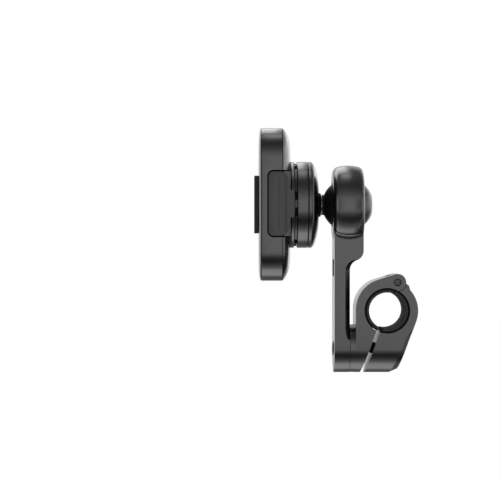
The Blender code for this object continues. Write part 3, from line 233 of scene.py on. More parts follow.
# Screws, as the radii of shank, head and socket
PINCH_BOLT = (0.0025, 0.00425, 0.0023)
PIVOT_BOLT = (0.003, 0.005, 0.0028)
COVER_SCREW = (0.0012, 0.0022, 0.0011)
PINCH_BOLT_ENDS = (-0.0095, 0.0161, 0.0211)     # tip, seat of the head, and top
PIVOT_BOLT_PROUD, PIVOT_BOLT_HEAD, PIVOT_BOLT_GRIP = 0.0008, 0.0046, 0.0053
COVER_SCREW_HEAD = 0.0014
TIP_TAPER, TIP_LENGTH = 0.7, 0.3    # shares of the shank's radius
HEAD_ROUND, SOCKET_DEPTH, SOCKET_CONE = 0.14, 0.6, 0.4  # of the head's radius and height, and the socket


def arc(centre, radius, start, end, steps):
    """Points on a circle from one angle to another, both ends included."""
    angles = [start + (end - start) * step / steps for step in range(steps + 1)]
    return [(centre[0] + radius * cos(a), centre[1] + radius * sin(a)) for a in angles]


def circle(centre, radius, steps):
    """Points round a full circle, each given once."""
    return arc(centre, radius, 0, 2 * pi * (1 - 1 / steps), steps - 1)


def quarter_turns(steps):
    """Angles from nothing to a quarter turn, both ends included."""
    return [pi / 2 * step / steps for step in range(steps + 1)]


def softened(corners, steps=4):
    """A closed outline from corners of (u, v, fillet), with each corner rounded by its own fillet."""
    outline = []
    for index, (u, v, fillet) in enumerate(corners):
        here = Vector((u, v))
        back = Vector(corners[index - 1][:2]) - here
        ahead = Vector(corners[(index + 1) % len(corners)][:2]) - here
        half = back.angle(ahead) / 2
        if fillet == 0 or half > radians(89):
            outline.append((u, v))
            continue
        reach = min(fillet / tan(half), 0.48 * back.length, 0.48 * ahead.length)
        radius = reach * tan(half)
        centre = here + (back.normalized() + ahead.normalized()).normalized() * (radius / sin(half))
        first = here + back.normalized() * reach - centre
        last = here + ahead.normalized() * reach - centre
        turn = first.angle_signed(last)
        for step in range(steps + 1):
            spoke = first.copy()
            spoke.rotate(Matrix.Rotation(-turn * step / steps, 2))
            outline.append(tuple(centre + spoke))
    return outline


def drawn_in(outline, inset):
    """A closed outline moved inwards by a small inset."""
    area = sum(a[0] * b[1] - b[0] * a[1] for a, b in zip(outline, outline[1:] + outline[:1]))
    side = 1 if area > 0 else -1
    moved = []
    for index, point in enumerate(outline):
        here = Vector(point)
        back = (here - Vector(outline[index - 1])).normalized()
        ahead = (Vector(outline[(index + 1) % len(outline)]) - here).normalized()
        way = Vector((-back.y - ahead.y, back.x + ahead.x)) * side
        way /= max(way.length_squared / 2, 0.2)
        moved.append(tuple(here + way * inset))
    return moved


def solid(name, maker):
    """An object from a bmesh, with its faces pointing out."""
    bmesh.ops.remove_doubles(maker, verts=maker.verts, dist=1e-7)
    bmesh.ops.recalc_face_normals(maker, faces=maker.faces)
    mesh = bpy.data.meshes.new(name)
    maker.to_mesh(mesh)
    maker.free()
    piece = bpy.data.objects.new(name, mesh)
    bpy.context.scene.collection.objects.link(piece)
    return piece


def bridged(name, rings):
    """A solid through rings of points that all have as many points, capped at both ends."""
    maker = bmesh.new()
    loops = [[maker.verts.new(point) for point in ring] for ring in rings]
    count = len(loops[0])
    for low, high in zip(loops, loops[1:]):
        for i in range(count):
            maker.faces.new((low[i], low[(i + 1) % count], high[(i + 1) % count], high[i]))
    maker.faces.new(loops[0])
    maker.faces.new(loops[-1])
    return solid(name, maker)


PLACES = {
    "X": lambda point, depth: (depth, point[0], point[1]),
    "Y": lambda point, depth: (point[0], depth, point[1]),
    "Z": lambda point, depth: (point[0], point[1], depth),
}


def prism(name, outline, low, high, axis, edge=0.0, steps=3):
    """An outline pushed along an axis, with its rims rounded over by an edge radius."""
    place = PLACES[axis]
    if edge == 0:
        levels = [(low, 0), (high, 0)]
    else:
        rim = [(edge * (1 - sin(turn)), edge * (1 - cos(turn))) for turn in quarter_turns(steps)]
        levels = [(low + depth, inset) for inset, depth in rim]
        levels += [(high - depth, inset) for inset, depth in reversed(rim)]
    return bridged(name, [[place(point, depth) for point in drawn_in(outline, inset)]
                          for depth, inset in levels])


def turned(name, profile, steps, centre=(0, 0, 0), lean=0.0, spin=0.0):
    """A profile of (along, radius) turned about an axis along X, which may lean about Y or Z.

    The profile is a closed loop, or runs from one point on the axis to another.
    """
    maker = bmesh.new()
    loops = []
    for along, radius in profile:
        if radius == 0:
            loops.append([maker.verts.new((along, 0, 0))] * steps)
            continue
        angles = [2 * pi * step / steps for step in range(steps)]
        loops.append([maker.verts.new((along, radius * cos(a), radius * sin(a))) for a in angles])
    followers = loops[1:] if profile[0][1] == 0 else loops[1:] + loops[:1]
    for first, second in zip(loops, followers):
        for i in range(steps):
            j = (i + 1) % steps
            maker.faces.new(list(dict.fromkeys((first[i], first[j], second[j], second[i]))))
    piece = solid(name, maker)
    piece.data.transform(Matrix.Translation(centre) @ Matrix.Rotation(lean, 4, "Y")
                         @ Matrix.Rotation(spin, 4, "Z"))
    return piece


def stepped_rod(name, spans, steps=SMALL, **place):
    """A round bar whose radius changes along its axis, from spans of (low, high, radius)."""
    profile = [(spans[0][0], 0)]
    for low, high, radius in spans:
        profile += [(low, radius), (high, radius)]
    return turned(name, profile + [(spans[-1][1], 0)], steps, **place)


def rod(name, radius, low, high, steps=ROUND, **place):
    """A plain round bar between two points of its axis."""
    return stepped_rod(name, [(low, high, radius)], steps, **place)


def cross_rod(name, radius, half, steps=ROUND, centre=(0, 0, 0)):
    """A plain round bar along Y, as long on both sides of the middle."""
    return rod(name, radius, -half, half, steps, centre=centre, spin=pi / 2)


def rounded_bar(name, corners, **place):
    """A round bar with flat ends, from corners of (along, radius, fillet)."""
    low, high = corners[0][0], corners[-1][0]
    side = softened([(low, NEAR_AXIS, 0)] + corners + [(high, NEAR_AXIS, 0)])[1:-1]
    return turned(name, [(low, 0)] + side + [(high, 0)], SMALL, **place)


def carve(target, tool, operation="DIFFERENCE"):
    """Cuts one solid by another, or joins them, and removes the tool."""
    step = target.modifiers.new("carve", "BOOLEAN")
    step.operation = operation
    step.solver = "MANIFOLD"
    step.object = tool
    bpy.context.view_layer.update()
    shaped = bpy.data.meshes.new_from_object(target.evaluated_get(bpy.context.evaluated_depsgraph_get()))
    target.modifiers.clear()
    worn = target.data
    target.data = shaped
    bpy.data.meshes.remove(worn)
    bpy.data.objects.remove(tool, do_unlink=True)


def drill(piece, radius, low, high, centre):
    """Cuts a small round hole along X."""
    carve(piece, rod("hole", radius, low, high, SMALL, centre=centre))


def add_post(piece, radius, low, high, centre):
    """Joins a small round post along X."""
    carve(piece, rod("post", radius, low, high, SMALL, centre=centre), "UNION")


def tilted(across, along):
    """A point of the clamp's leaning plane as (x, z): across the slit, and along it upwards."""
    return (across * cos(LEAN) + along * sin(LEAN),
            along * cos(LEAN) - across * sin(LEAN))


def tilted_at_height(across, height):
    """The point of a slit-wise line that lies at a given height."""
    return tilted(across, (height + across * sin(LEAN)) / cos(LEAN))


def rounded_rectangle(half_width, half_height, radius, steps, middle=BALL.z):
    """A rectangle in (y, z) with round corners, whose middle lies at a given height."""
    outline = []
    for corner, (side_y, side_z) in enumerate(QUARTERS):
        centre = (side_y * (half_width - radius), side_z * (half_height - radius))
        start = corner * pi / 2
        outline += arc(centre, radius, start, start + pi / 2, steps)
    return [(y, z + middle) for y, z in outline]


def flanked(name, outline):
    """An outline in (x, z) made solid, with the flanks and half-round foot that clamp and arm share."""
    piece = prism(name, outline, -2 * HALF_WIDTH, 2 * HALF_WIDTH, "Y")
    flanks = arc((0, PIVOT.z), HALF_WIDTH, pi, 2 * pi, ROUND // 2)
    flanks += [(HALF_WIDTH, FLANK_REACH), (-HALF_WIDTH, FLANK_REACH)]
    carve(piece, prism("flanks", flanks, -FLANK_REACH, FLANK_REACH, "X"), "INTERSECT")
    return piece


def pin_hole():
    return cross_rod("pin_hole", PIN_HOLE, 2 * HALF_WIDTH, SMALL, HINGE)


def bar_bore():
    return cross_rod("bar_bore", BAR_RADIUS, 2 * HALF_WIDTH)


def make_clamp_body():
    apart = hypot(HINGE.x, HINGE.z - BODY_RISE)
    towards_hinge = atan2(HINGE.z - BODY_RISE, HINGE.x)
    tangent = towards_hinge + acos((BODY_RADIUS - KNUCKLE_RADIUS) / apart)
    below = CLAMP_LOW.z - OVERCUT
    outline = [(-BODY_RADIUS, below), tilted_at_height(SLIT_LEFT, below), tilted(SLIT_LEFT, 0)]
    outline += arc(HINGE_XZ, KNUCKLE_RADIUS, KNUCKLE_START, tangent, ROUND // 3)
    outline += arc((0, BODY_RISE), BODY_RADIUS, tangent, pi, ROUND // 4)
    body = flanked("clamp_body_shape", outline)
    carve(body, rod("boss", HALF_WIDTH - GAP / 3, CLAMP_LOW.x, -BODY_RADIUS + OVERCUT, centre=PIVOT_AXIS),
          "UNION")
    carve(body, bar_bore())
    carve(body, cross_rod("ears", KNUCKLE_RADIUS - GAP / 10, HALF_WIDTH - GAP, centre=HINGE), "UNION")
    slot = arc(HINGE_XZ, SLOT_RADIUS, radians(100), radians(200), ROUND // 4)
    slot += arc(HINGE_XZ, KNUCKLE_ROOM, radians(215), radians(290), ROUND // 6)
    above = 2 * BODY_RADIUS
    slot += [(BODY_RADIUS, 0), (BODY_RADIUS, above), (HINGE.x - SLOT_RADIUS / 2, above)]
    carve(body, prism("slot", slot, -SLOT_HALF, SLOT_HALF, "Y"))
    carve(body, pin_hole())
    carve(body, rod("thread", PINCH_THREAD, PINCH_THREAD_END, 0, SMALL, centre=PINCH, lean=LEAN))
    drill(body, PIVOT_THREAD, CLAMP_LOW.x - OVERCUT, CLAMP_LOW.x + PIVOT_THREAD_DEPTH, PIVOT_AXIS)
    return body


def make_clamp_jaw():
    below = JAW_LOW.z - OVERCUT
    outline = [tilted_at_height(SLIT_RIGHT, below), tilted_at_height(JAW_RADIUS, below)]
    outline += arc((0, 0), JAW_RADIUS, -LEAN, JAW_TOP, ROUND // 5)
    shoulder = (HINGE.x + KNUCKLE_ROOM + SHOULDER_OUT, HINGE.z - SHOULDER_DROP)
    outline.append(shoulder)
    outline += arc(HINGE_XZ, KNUCKLE_ROOM, radians(-9), KNUCKLE_START, ROUND // 5)
    outline.append(tilted(SLIT_RIGHT, 0))
    jaw = flanked("clamp_jaw_shape", outline)
    chamfer_jaw(jaw)
    tongue = arc(HINGE_XZ, KNUCKLE_RADIUS, TONGUE_START, radians(275), ROUND // 3)
    root = BAR_RADIUS + TONGUE_ROOT
    tongue.append((root * cos(TONGUE_START), root * sin(TONGUE_START)))
    tongue.append((shoulder[0] - TONGUE_SINK, shoulder[1] - TONGUE_SINK))
    carve(jaw, prism("tongue", tongue, -TONGUE_HALF, TONGUE_HALF, "Y"), "UNION")
    carve(jaw, bar_bore())
    carve(jaw, pin_hole())
    room_end = SLEEVE_END + GAP
    spans = [(SLIT_LEFT - OVERCUT, room_end, SLEEVE_RADIUS + GAP), (room_end, BOLT_SEAT, BOLT_HOLE),
             (BOLT_SEAT, JAW_RADIUS + OVERCUT, BOLT_HEAD_ROOM)]
    carve(jaw, stepped_rod("pinch_hole", spans, centre=PINCH, lean=LEAN))
    return jaw


def chamfer_cutter(corners, first_ways, second_ways, widths, over=OVERCUT / 4, ratio=1.0):
    """A three-sided bar along an edge, which cuts a chamfer of the given width at each corner point.

    The width is taken along the first way. Along the second way it is in ratio to that. The bar stands
    out over the edge.
    """
    rings = []
    for corner, first, second, width in zip(corners, first_ways, second_ways, widths):
        rings.append([corner - (width + over / ratio) * first + over * second,
                      corner + over * first - (width + over) * ratio * second,
                      corner + over * first + over * second])
    return bridged("chamfer", rings)


def chamfer_jaw(jaw):
    """Breaks the outer edges of the jaw's lower face, round its half-round foot."""
    face = Vector((cos(LEAN), 0, -sin(LEAN)))
    top = tilted(JAW_RADIUS, JAW_CHAMFER_TOP)[1]
    flank = [(-HALF_WIDTH, top + (PIVOT.z - top) * (step / 8) ** 1.5) for step in range(8)]
    foot = arc((0, PIVOT.z), HALF_WIDTH, pi, 2 * pi, ROUND // 3)
    edge = flank + foot + [(-y, z) for y, z in reversed(flank)]
    corners, ways, widths = [], [], []
    for y, z in edge:
        corners.append(Vector((tilted_at_height(JAW_RADIUS, z)[0], y, z)))
        ways.append(Vector((0, y, min(z - PIVOT.z, 0))).normalized())
        grown = sqrt(min(max((top - z) / JAW_CHAMFER_RUN, 0), 1))
        widths.append(JAW_CHAMFER * grown if grown > 0 else NO_CHAMFER)
    carve(jaw, chamfer_cutter(corners, [face] * len(edge), ways, widths, OVERCUT, JAW_CHAMFER_RATIO))


def make_shim(name, start, pulls):
    """A half-ring reducer, with a groove round the outer edge of each end face.

    Pulls are the angles by which it stops short of a half turn, at its start and its end.
    """
    outer, step_in = BAR_RADIUS - GAP, BAR_RADIUS - SHIM_GROOVE_WIDTH
    floor = SHIM_END - SHIM_GROOVE_DEPTH
    bore_fillet, step_fillet, outer_fillet = SHIM_FILLETS
    corners = []
    for side in (-1, 1):
        half = [(SHIM_BORE, side * SHIM_END, bore_fillet), (step_in, side * SHIM_END, step_fillet),
                (step_in, side * floor, 0), (outer, side * floor, outer_fillet)]
        corners += half if side < 0 else half[::-1]
    section = softened(corners)
    steps = ROUND // 2
    rings = []
    for step in range(steps + 1):
        angle = start + pulls[0] + (pi - pulls[0] - pulls[1]) * step / steps
        rings.append([(radius * cos(angle), y, radius * sin(angle)) for radius, y in section])
    shim = bridged(name, rings)
    carve(shim, cross_rod("knuckle_room", KNUCKLE_RADIUS + GAP / 3, 2 * HALF_WIDTH, centre=HINGE))
    return shim


def lower_bend():
    """The lower half of the bend where the arm thickens, with its radius and sweep."""
    step, rise = UPPER_RIGHT - ARM_RIGHT, ARM_THICK_BOTTOM - ARM_NARROW_TOP
    radius = (step ** 2 + rise ** 2) / (4 * step)
    sweep = asin(rise / 2 / radius)
    return arc((ARM_RIGHT + radius, ARM_NARROW_TOP), radius, pi, pi - sweep, 12), radius, sweep


def chamfer_arm(arm):
    """Breaks the arm's rear edges from the pivot to where the arm thickens, fading out at both ends."""
    lower, radius, _ = lower_bend()
    rise = ARM_CHAMFER_FULL - ARM_CHAMFER_BOTTOM
    path = [(ARM_RIGHT, ARM_CHAMFER_BOTTOM + rise * (step / 8) ** 2) for step in range(9)]
    path.append((ARM_RIGHT, ARM_NARROW_TOP))
    ways = [Vector((1, 0, 0))] * len(path)
    centre = Vector((ARM_RIGHT + radius, 0, ARM_NARROW_TOP))
    ways += [(centre - Vector((x, 0, z))).normalized() for x, z in lower[1:]]
    path += lower[1:]
    widths = []
    for x, z in path:
        grow = min(max((z - ARM_CHAMFER_BOTTOM) / rise, 0), 1)
        fade = min(max((lower[-1][1] - z) / (lower[-1][1] - ARM_NARROW_TOP), 0), 1)
        width = ARM_CHAMFER * sqrt(grow * (2 - grow)) * sqrt(fade)
        widths.append(width if width > 0 else NO_CHAMFER)
    for side in (-1, 1):
        corners = [Vector((x, side * HALF_WIDTH, z)) for x, z in path]
        carve(arm, chamfer_cutter(corners, ways, [Vector((0, side, 0))] * len(path), widths))


def barrel_profile():
    """The ring head's outside as (along, radius): a bowed side that runs into a round at each end."""
    bow = (RING_HALF ** 2 + RING_CROWN ** 2) / (2 * RING_CROWN)
    bow_centre = RING_RADIUS - bow
    swing = asin((RING_HALF - RING_EDGE_FILLET) / (bow - RING_EDGE_FILLET))
    edge_centre = (RING_HALF - RING_EDGE_FILLET,
                   bow_centre + (bow - RING_EDGE_FILLET) * cos(swing))
    side = arc((0, bow_centre), bow, pi / 2, pi / 2 - swing, 12)
    left_half = side + arc(edge_centre, RING_EDGE_FILLET, pi / 2 - swing, 0, 12)[1:]
    left_half = [(-along, radius) for along, radius in reversed(left_half[1:])]
    right_half = side + arc(edge_centre, RING_EDGE_FILLET, pi / 2 - swing, RING_STOP, 12)[1:]
    return [(-RING_HALF, 0)] + left_half + right_half + [(RING_END, 0)]


def arm_collar(side):
    """The collar under the ring head, which runs into a flank of the arm with a hollow fillet.

    Its rings lie a little beside the barrel's own, so that no edges fall together in the cut.
    """
    out = HALF_WIDTH + COLLAR_FILLET
    right_end = UPPER_RIGHT - BALL.x - GAP
    beside = GAP / 7
    rings = []
    for along, radius in barrel_profile()[1:-1]:
        if along < GAP - RING_HALF or along > right_end:
            continue
        drop = sqrt((radius + COLLAR_STEP + COLLAR_FILLET) ** 2 - out ** 2)
        start = atan2(drop, out)
        section = arc((out, -drop), COLLAR_FILLET, pi - start, pi, 10)
        section[-1] = (section[-1][0] - GAP / 10, section[-1][1])
        section.append((HALF_WIDTH - COLLAR_FILLET, -drop))
        inner = radius - COLLAR_STEP
        section.append((inner * cos(start), -inner * sin(start)))
        rings.append([(BALL.x + along + beside, side * y, BALL.z + z) for y, z in section])
    return bridged("collar", rings)


def make_arm():
    lower, radius, sweep = lower_bend()
    upper = arc((UPPER_RIGHT - radius, ARM_THICK_BOTTOM), radius, -sweep, 0, 12)
    below = ARM_LOW.z - OVERCUT
    outline = [(ARM_LEFT, below), (ARM_RIGHT, below)] + lower + upper[1:]
    outline += [(UPPER_RIGHT, BALL.z), (ARM_LEFT, BALL.z)]
    arm = flanked("arm_shape", outline)
    chamfer_arm(arm)
    counter = ARM_LEFT + PIVOT_HEAD_SINK
    spans = [(ARM_LEFT - OVERCUT, counter, PIVOT_HEAD_ROOM), (counter, PIVOT.x + OVERCUT, PIVOT_HOLE)]
    carve(arm, stepped_rod("pivot_hole", spans, centre=PIVOT_AXIS))
    pocket = rounded_rectangle(POCKET_HALF_WIDTH, POCKET_HALF_HEIGHT, POCKET_CORNER, 8, POCKET_Z)
    carve(arm, prism("pocket", pocket, ARM_LEFT - OVERCUT, ARM_LEFT + POCKET_DEPTH, "X"))
    carve(arm, turned("barrel", barrel_profile(), ROUND, centre=BALL), "UNION")
    for side in (-1, 1):
        carve(arm, arm_collar(side), "UNION")
    lip = sqrt(SEAT_RADIUS ** 2 - (RING_HALF - RING_LIP) ** 2)
    far, lip_end = RING_HALF + OVERCUT, RING_LIP - RING_HALF
    spans = [(-far, lip_end, lip), (lip_end, far, RING_BORE)]
    carve(arm, stepped_rod("ring_bore", spans, ROUND, centre=BALL))
    return arm


def make_ball():
    """Ball with a flat back, a square key hole in it, a neck and a stud."""
    flat_radius = sqrt(BALL_RADIUS ** 2 - BALL_FLAT ** 2)
    back = atan2(flat_radius, BALL_FLAT)
    front = pi - asin(NECK_RADIUS / BALL_RADIUS)
    neck_end, stud_end = -BALL_RADIUS + GAP, STUD_LOW.x - BALL.x
    thread_end = stud_end + STUD_THREAD
    profile = [(BALL_FLAT, 0), (BALL_FLAT, flat_radius - BALL_EDGE)]
    profile += arc((0, 0), BALL_RADIUS, back + BALL_EDGE_TURN, front, 40)
    profile += [(neck_end, NECK_RADIUS), (neck_end, STUD_RADIUS), (stud_end, STUD_RADIUS)]
    profile += [(stud_end, SPINDLE_HOLE), (thread_end, SPINDLE_HOLE), (thread_end, 0)]
    ball = turned("ball_stud_shape", profile, ROUND, centre=BALL)
    key = rounded_rectangle(KEY_HALF, KEY_HALF, KEY_CORNER, 4)
    carve(ball, prism("key", key, STUD_HIGH.x - KEY_DEPTH, STUD_HIGH.x + OVERCUT, "X"))
    return ball


def hollow_ring(node, bore, fillet):
    """A round ring that fills a node's place, with softened edges."""
    low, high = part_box(node)
    radius = (high.z - low.z) / 2
    corners = [(low.x, bore, 0), (low.x, radius, fillet), (high.x, radius, fillet), (high.x, bore, 0)]
    return turned(f"{node}_shape", softened(corners), ROUND, centre=DISC_AXIS)


DISC_SCREWS = [(0, y, z) for y, z in arc((0, BALL.z), DISC_SCREW_CIRCLE, pi / 4, 7 * pi / 4, 3)]


def make_dome():
    """The disc's domed back shell, open towards the disc."""
    radius = DOME_HIGH.y
    rim = DOME_LOW.x + DOME_RIM
    depth, width = DOME_HIGH.x - rim, radius - DOME_FLAT

    def bowl(inset, steps):
        return [(rim + (depth - inset) * sin(turn), DOME_FLAT + (width - inset) * cos(turn))
                for turn in quarter_turns(steps)]

    profile = [(DOME_LOW.x, radius - SHELL_WALL), (DOME_LOW.x, radius - DOME_EDGE_WIDTH),
               (DOME_LOW.x + DOME_EDGE_DEPTH, radius)]
    profile += bowl(0, 24) + [(DOME_HIGH.x, NECK_HOLE), (DOME_HIGH.x - SHELL_WALL, NECK_HOLE)]
    profile += bowl(SHELL_WALL, 10)[::-1]
    dome = turned("rear_dome_shape", profile, ROUND, centre=DISC_AXIS)
    for centre in DISC_SCREWS:
        add_post(dome, DISC_POST, DOME_LOW.x, DOME_HIGH.x - depth / 3, centre)
        drill(dome, SCREW_HOLE, DOME_LOW.x - OVERCUT, DOME_LOW.x + SCREW_GRIP, centre)
    return dome


def make_disc():
    radius, inner = DISC_HIGH.y, DISC_LOW.x + DISC_WEB
    corners = [(DISC_LOW.x, NECK_HOLE, 0), (DISC_LOW.x, radius, DISC_FRONT_FILLET),
               (DISC_HIGH.x, radius, DISC_REAR_FILLET), (DISC_HIGH.x, radius - SHELL_WALL, 0),
               (inner, radius - SHELL_WALL, 0), (inner, NECK_HOLE, 0)]
    disc = turned("base_disc_shape", softened(corners), ROUND, centre=DISC_AXIS)
    seat = DISC_LOW.x + DISC_SCREW_SEAT
    spans = [(DISC_LOW.x - OVERCUT, seat, SCREW_SINK), (seat, DISC_HIGH.x + OVERCUT, SCREW_HOLE)]
    for centre in DISC_SCREWS:
        add_post(disc, DISC_POST, DISC_LOW.x + DISC_WEB / 2, DISC_HIGH.x, centre)
        carve(disc, stepped_rod("hole", spans, centre=centre))
    return disc


def make_detent_ring():
    low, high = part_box("detent_ring")
    quarter = [radians(angle) for angle in WINDOW_ANGLES]
    above = quarter + [pi - angle for angle in reversed(quarter)]
    windows = above + [pi + angle for angle in above]
    outline = []
    for angle, following in zip(windows, windows[1:] + [windows[0] + 2 * pi]):
        start, end = angle - WINDOW_HALF, angle + WINDOW_HALF
        outline += arc((0, BALL.z), DISC_HIGH.y - WINDOW_SINK, start, end, 4)
        outline += arc((0, BALL.z), DISC_HIGH.y - DETENT_SINK, end, following - WINDOW_HALF, 8)
    ring = prism("detent_ring_shape", outline, low.x, high.x, "X")
    drill(ring, SPINDLE_HOLE, low.x - OVERCUT, high.x + OVERCUT, DISC_AXIS)
    return ring


def head_layers(name, layers):
    """A solid through insets of the head's rounded front view: each layer is (x, inset)."""
    rings = []
    for x, inset in layers:
        corner = max(HEAD_CORNER - inset, HEAD_CORNER / 20)
        outline = rounded_rectangle(HEAD_HALF_WIDTH - inset, HEAD_HALF_HEIGHT - inset, corner, 14)
        rings.append([(x, y, z) for y, z in outline])
    return bridged(name, rings)


def lever_outline():
    """The side lever seen along the bar, as (x, z): a panel with swept rear corners and a tab."""
    front, rear, waist = LEVER_LOW.x, LEVER_HIGH.x, COVER_HIGH.x
    centre_x, centre_z = front + LEVER_CORNER, LEVER_HALF - LEVER_CORNER
    outline = [(rear, BALL.z - TAB_HALF), (rear, BALL.z + TAB_HALF), (waist, BALL.z + TAB_HALF)]
    sweep = [(waist - LEVER_SHOULDER * (1 - cos(turn)),
              BALL.z + TAB_HALF + (LEVER_HALF - TAB_HALF) * sin(turn)) for turn in quarter_turns(16)[1:]]
    outline += sweep
    outline += arc((centre_x, BALL.z + centre_z), LEVER_CORNER, pi / 2, pi, 10)
    outline += arc((centre_x, BALL.z - centre_z), LEVER_CORNER, pi, 3 * pi / 2, 10)
    outline += [(x, 2 * BALL.z - z) for x, z in reversed(sweep)]
    outline.append((waist, BALL.z - TAB_HALF))
    return outline


def lever_skirt(side, end):
    """The sloping part behind a swept corner of a lever."""
    rear = COVER_HIGH.x - GAP / 10
    section = [(SKIRT_FRONT, side * (LEVER_FLOOR + GAP)), (SKIRT_FRONT, side * (HEAD_HALF_WIDTH - GAP)),
               (rear, side * (LEVER_HINGE_FLOOR + 2 * GAP)), (rear, side * (LEVER_HINGE_FLOOR + GAP))]
    low, high = sorted((BALL.z + end * (TAB_HALF + SKIRT_RISE), BALL.z + end * (LEVER_HALF - GAP / 10)))
    return prism("skirt", section, low, high, "Z")


def skirt_room(side, end):
    """The recess in the cover for the sloping part of a lever."""
    near, far = sorted((side * LEVER_HINGE_FLOOR, side * (HEAD_HALF_WIDTH + OVERCUT)))
    front, rear = SKIRT_FRONT - LEVER_GAP, COVER_HIGH.x + OVERCUT
    low, high = BALL.z + end * (TAB_HALF + SKIRT_RISE - LEVER_GAP), BALL.z + end * (LEVER_HALF + LEVER_GAP)
    return prism("skirt_room", [(front, low), (rear, low), (rear, high), (front, high)], near, far, "Y")


def lever_pocket(side):
    """The recess for a lever, open to the head's flank and its back."""
    near, far = sorted((side * LEVER_FLOOR, side * (HEAD_HALF_WIDTH + OVERCUT)))
    return prism("lever_pocket", drawn_in(lever_outline(), -LEVER_GAP), near, far, "Y")


def cover_layers():
    """The back cover's slope as (x, inset), from its seam to its flat back."""
    depth = COVER_HIGH.x - COVER_LOW.x - SEAM_SHIFT
    shares = [(step / BACK_STEPS) ** BACK_SPREAD for step in range(BACK_STEPS + 1)]
    return [(COVER_HIGH.x - depth * (1 - share) ** BACK_STEEPNESS, BACK_BORDER * share) for share in shares]


def slope_line(side, end):
    """A thin cut over the cover's slope, in line with an end of the lever's pocket."""
    layers = cover_layers()[:LINE_LAYERS]
    floor = [(x, side * (HEAD_HALF_WIDTH - inset - LINE_DEPTH)) for x, inset in layers]
    above = side * (HEAD_HALF_WIDTH + OVERCUT)
    front = floor[0][0] - OVERCUT
    outline = [(front, floor[0][1])] + floor + [(floor[-1][0], above), (front, above)]
    low, high = sorted((BALL.z + end * LEVER_HALF, BALL.z + end * (LEVER_HALF + LEVER_GAP)))
    return prism("slope_line", outline, low, high, "Z")


def make_back_cover():
    depth = COVER_HIGH.x - COVER_LOW.x
    cover = head_layers("back_cover_shape", cover_layers())
    carve(cover, head_layers("hollow", [(COVER_LOW.x - OVERCUT, FRAME_WALL),
                                        (COVER_LOW.x + depth / 2, HOLLOW_BORDER)]))
    for side in (-1, 1):
        carve(cover, lever_pocket(side))
        for end in (-1, 1):
            carve(cover, skirt_room(side, end))
            carve(cover, slope_line(side, end))
    carve(cover, rod("hub", HUB_RADIUS, COVER_HIGH.x - HUB_DEPTH, COVER_HIGH.x - HUB_SINK, centre=DISC_AXIS),
          "UNION")
    carve(cover, rod("hub_hole", HUB_HOLE, COVER_LOW.x - OVERCUT, COVER_HIGH.x + OVERCUT, centre=DISC_AXIS))
    seat = COVER_HIGH.x - COVER_SCREW_SINK
    spans = [(COVER_LOW.x - OVERCUT, seat, SCREW_HOLE), (seat, COVER_HIGH.x + OVERCUT, SCREW_SINK)]
    for centre in COVER_SCREWS:
        add_post(cover, COVER_POST, COVER_LOW.x, COVER_HIGH.x - OVERCUT, centre)
        carve(cover, stepped_rod("hole", spans, centre=centre))
    return cover


def make_head_frame():
    front, rear = FRAME_LOW.x + FRONT_SHIFT, FRAME_HIGH.x + SEAM_SHIFT
    layers = [(front + EDGE_FILLET * (1 - cos(turn)), EDGE_FILLET * (1 - sin(turn)))
              for turn in quarter_turns(4)]
    layers += [(front + rear - x, inset) for x, inset in reversed(layers)]
    head = head_layers("head_frame_shape", layers)
    behind, web = FRAME_HIGH.x + OVERCUT, FRAME_LOW.x + FRAME_WEB
    carve(head, head_layers("hollow", [(web, FRAME_WALL), (behind, FRAME_WALL)]))
    for centre in COVER_SCREWS:
        add_post(head, COVER_POST, FRAME_LOW.x + FRAME_WEB / 2, FRAME_HIGH.x, centre)
        drill(head, SCREW_HOLE, FRAME_HIGH.x - SCREW_GRIP - GAP, behind, centre)
    for centre in BOSS_SCREWS:
        drill(head, SCREW_HOLE, FRAME_LOW.x - OVERCUT, web + OVERCUT, centre)
    room_front = LEVER_PIN.x - HINGE_ROOM_AHEAD
    for side in (-1, 1):
        carve(head, lever_pocket(side))
        near, far = sorted((side * LEVER_HINGE_FLOOR, side * HEAD_HALF_WIDTH))
        room = [(room_front, near), (behind, near), (behind, far), (room_front, far)]
        carve(head, prism("hinge_room", room, BALL.z - HINGE_ROOM_HALF, BALL.z + HINGE_ROOM_HALF, "Z"))
        carve(head, lever_pin_bore(side, GAP))
        carve(head, rod("spring_hole", SPRING_HOLE, SPRING_HOLE_FLOOR, LEVER_INNER, SMALL,
                        centre=(SPRING_X, 0, BALL.z), spin=side * pi / 2))
    return head


def round_lever_pin(side, radius):
    """A circle round the pin of a lever, seen from above."""
    return circle((LEVER_PIN.x, side * abs(LEVER_PIN.y)), radius, SMALL)


def lever_pin_bore(side, past_end):
    """The hole along a lever's pin, a little longer than the pin or just as long."""
    reach = LEVER_PIN_HALF + past_end
    outline = round_lever_pin(side, LEVER_PIN_RADIUS)
    return prism("lever_pin_bore", outline, BALL.z - reach, BALL.z + reach, "Z")


def make_front_pad():
    front, depth = PAD_LOW.x + FRONT_SHIFT, PAD_HIGH.x - PAD_LOW.x
    layers = [(front + depth * (1 - cos(turn)), PAD_ROUND * (1 - sin(turn)))
              for turn in quarter_turns(12)]
    pad = head_layers("front_pad_shape", layers)
    for centre in BOSS_SCREWS:
        drill(pad, SCREW_HOLE, PAD_LOW.x - OVERCUT, PAD_HIGH.x + OVERCUT, centre)
    return pad


def make_lock_boss():
    low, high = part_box("lock_boss")
    outline = rounded_rectangle(high.y, high.y, BOSS_CORNER, 10)
    boss = prism("lock_boss_shape", outline, low.x, PAD_LOW.x + FRONT_SHIFT - GAP / 10, "X", SOFT_EDGE, 4)
    for centre in BOSS_SCREWS:
        drill(boss, SCREW_HOLE, low.x + BOSS_SKIN, high.x + OVERCUT, centre)
    return boss


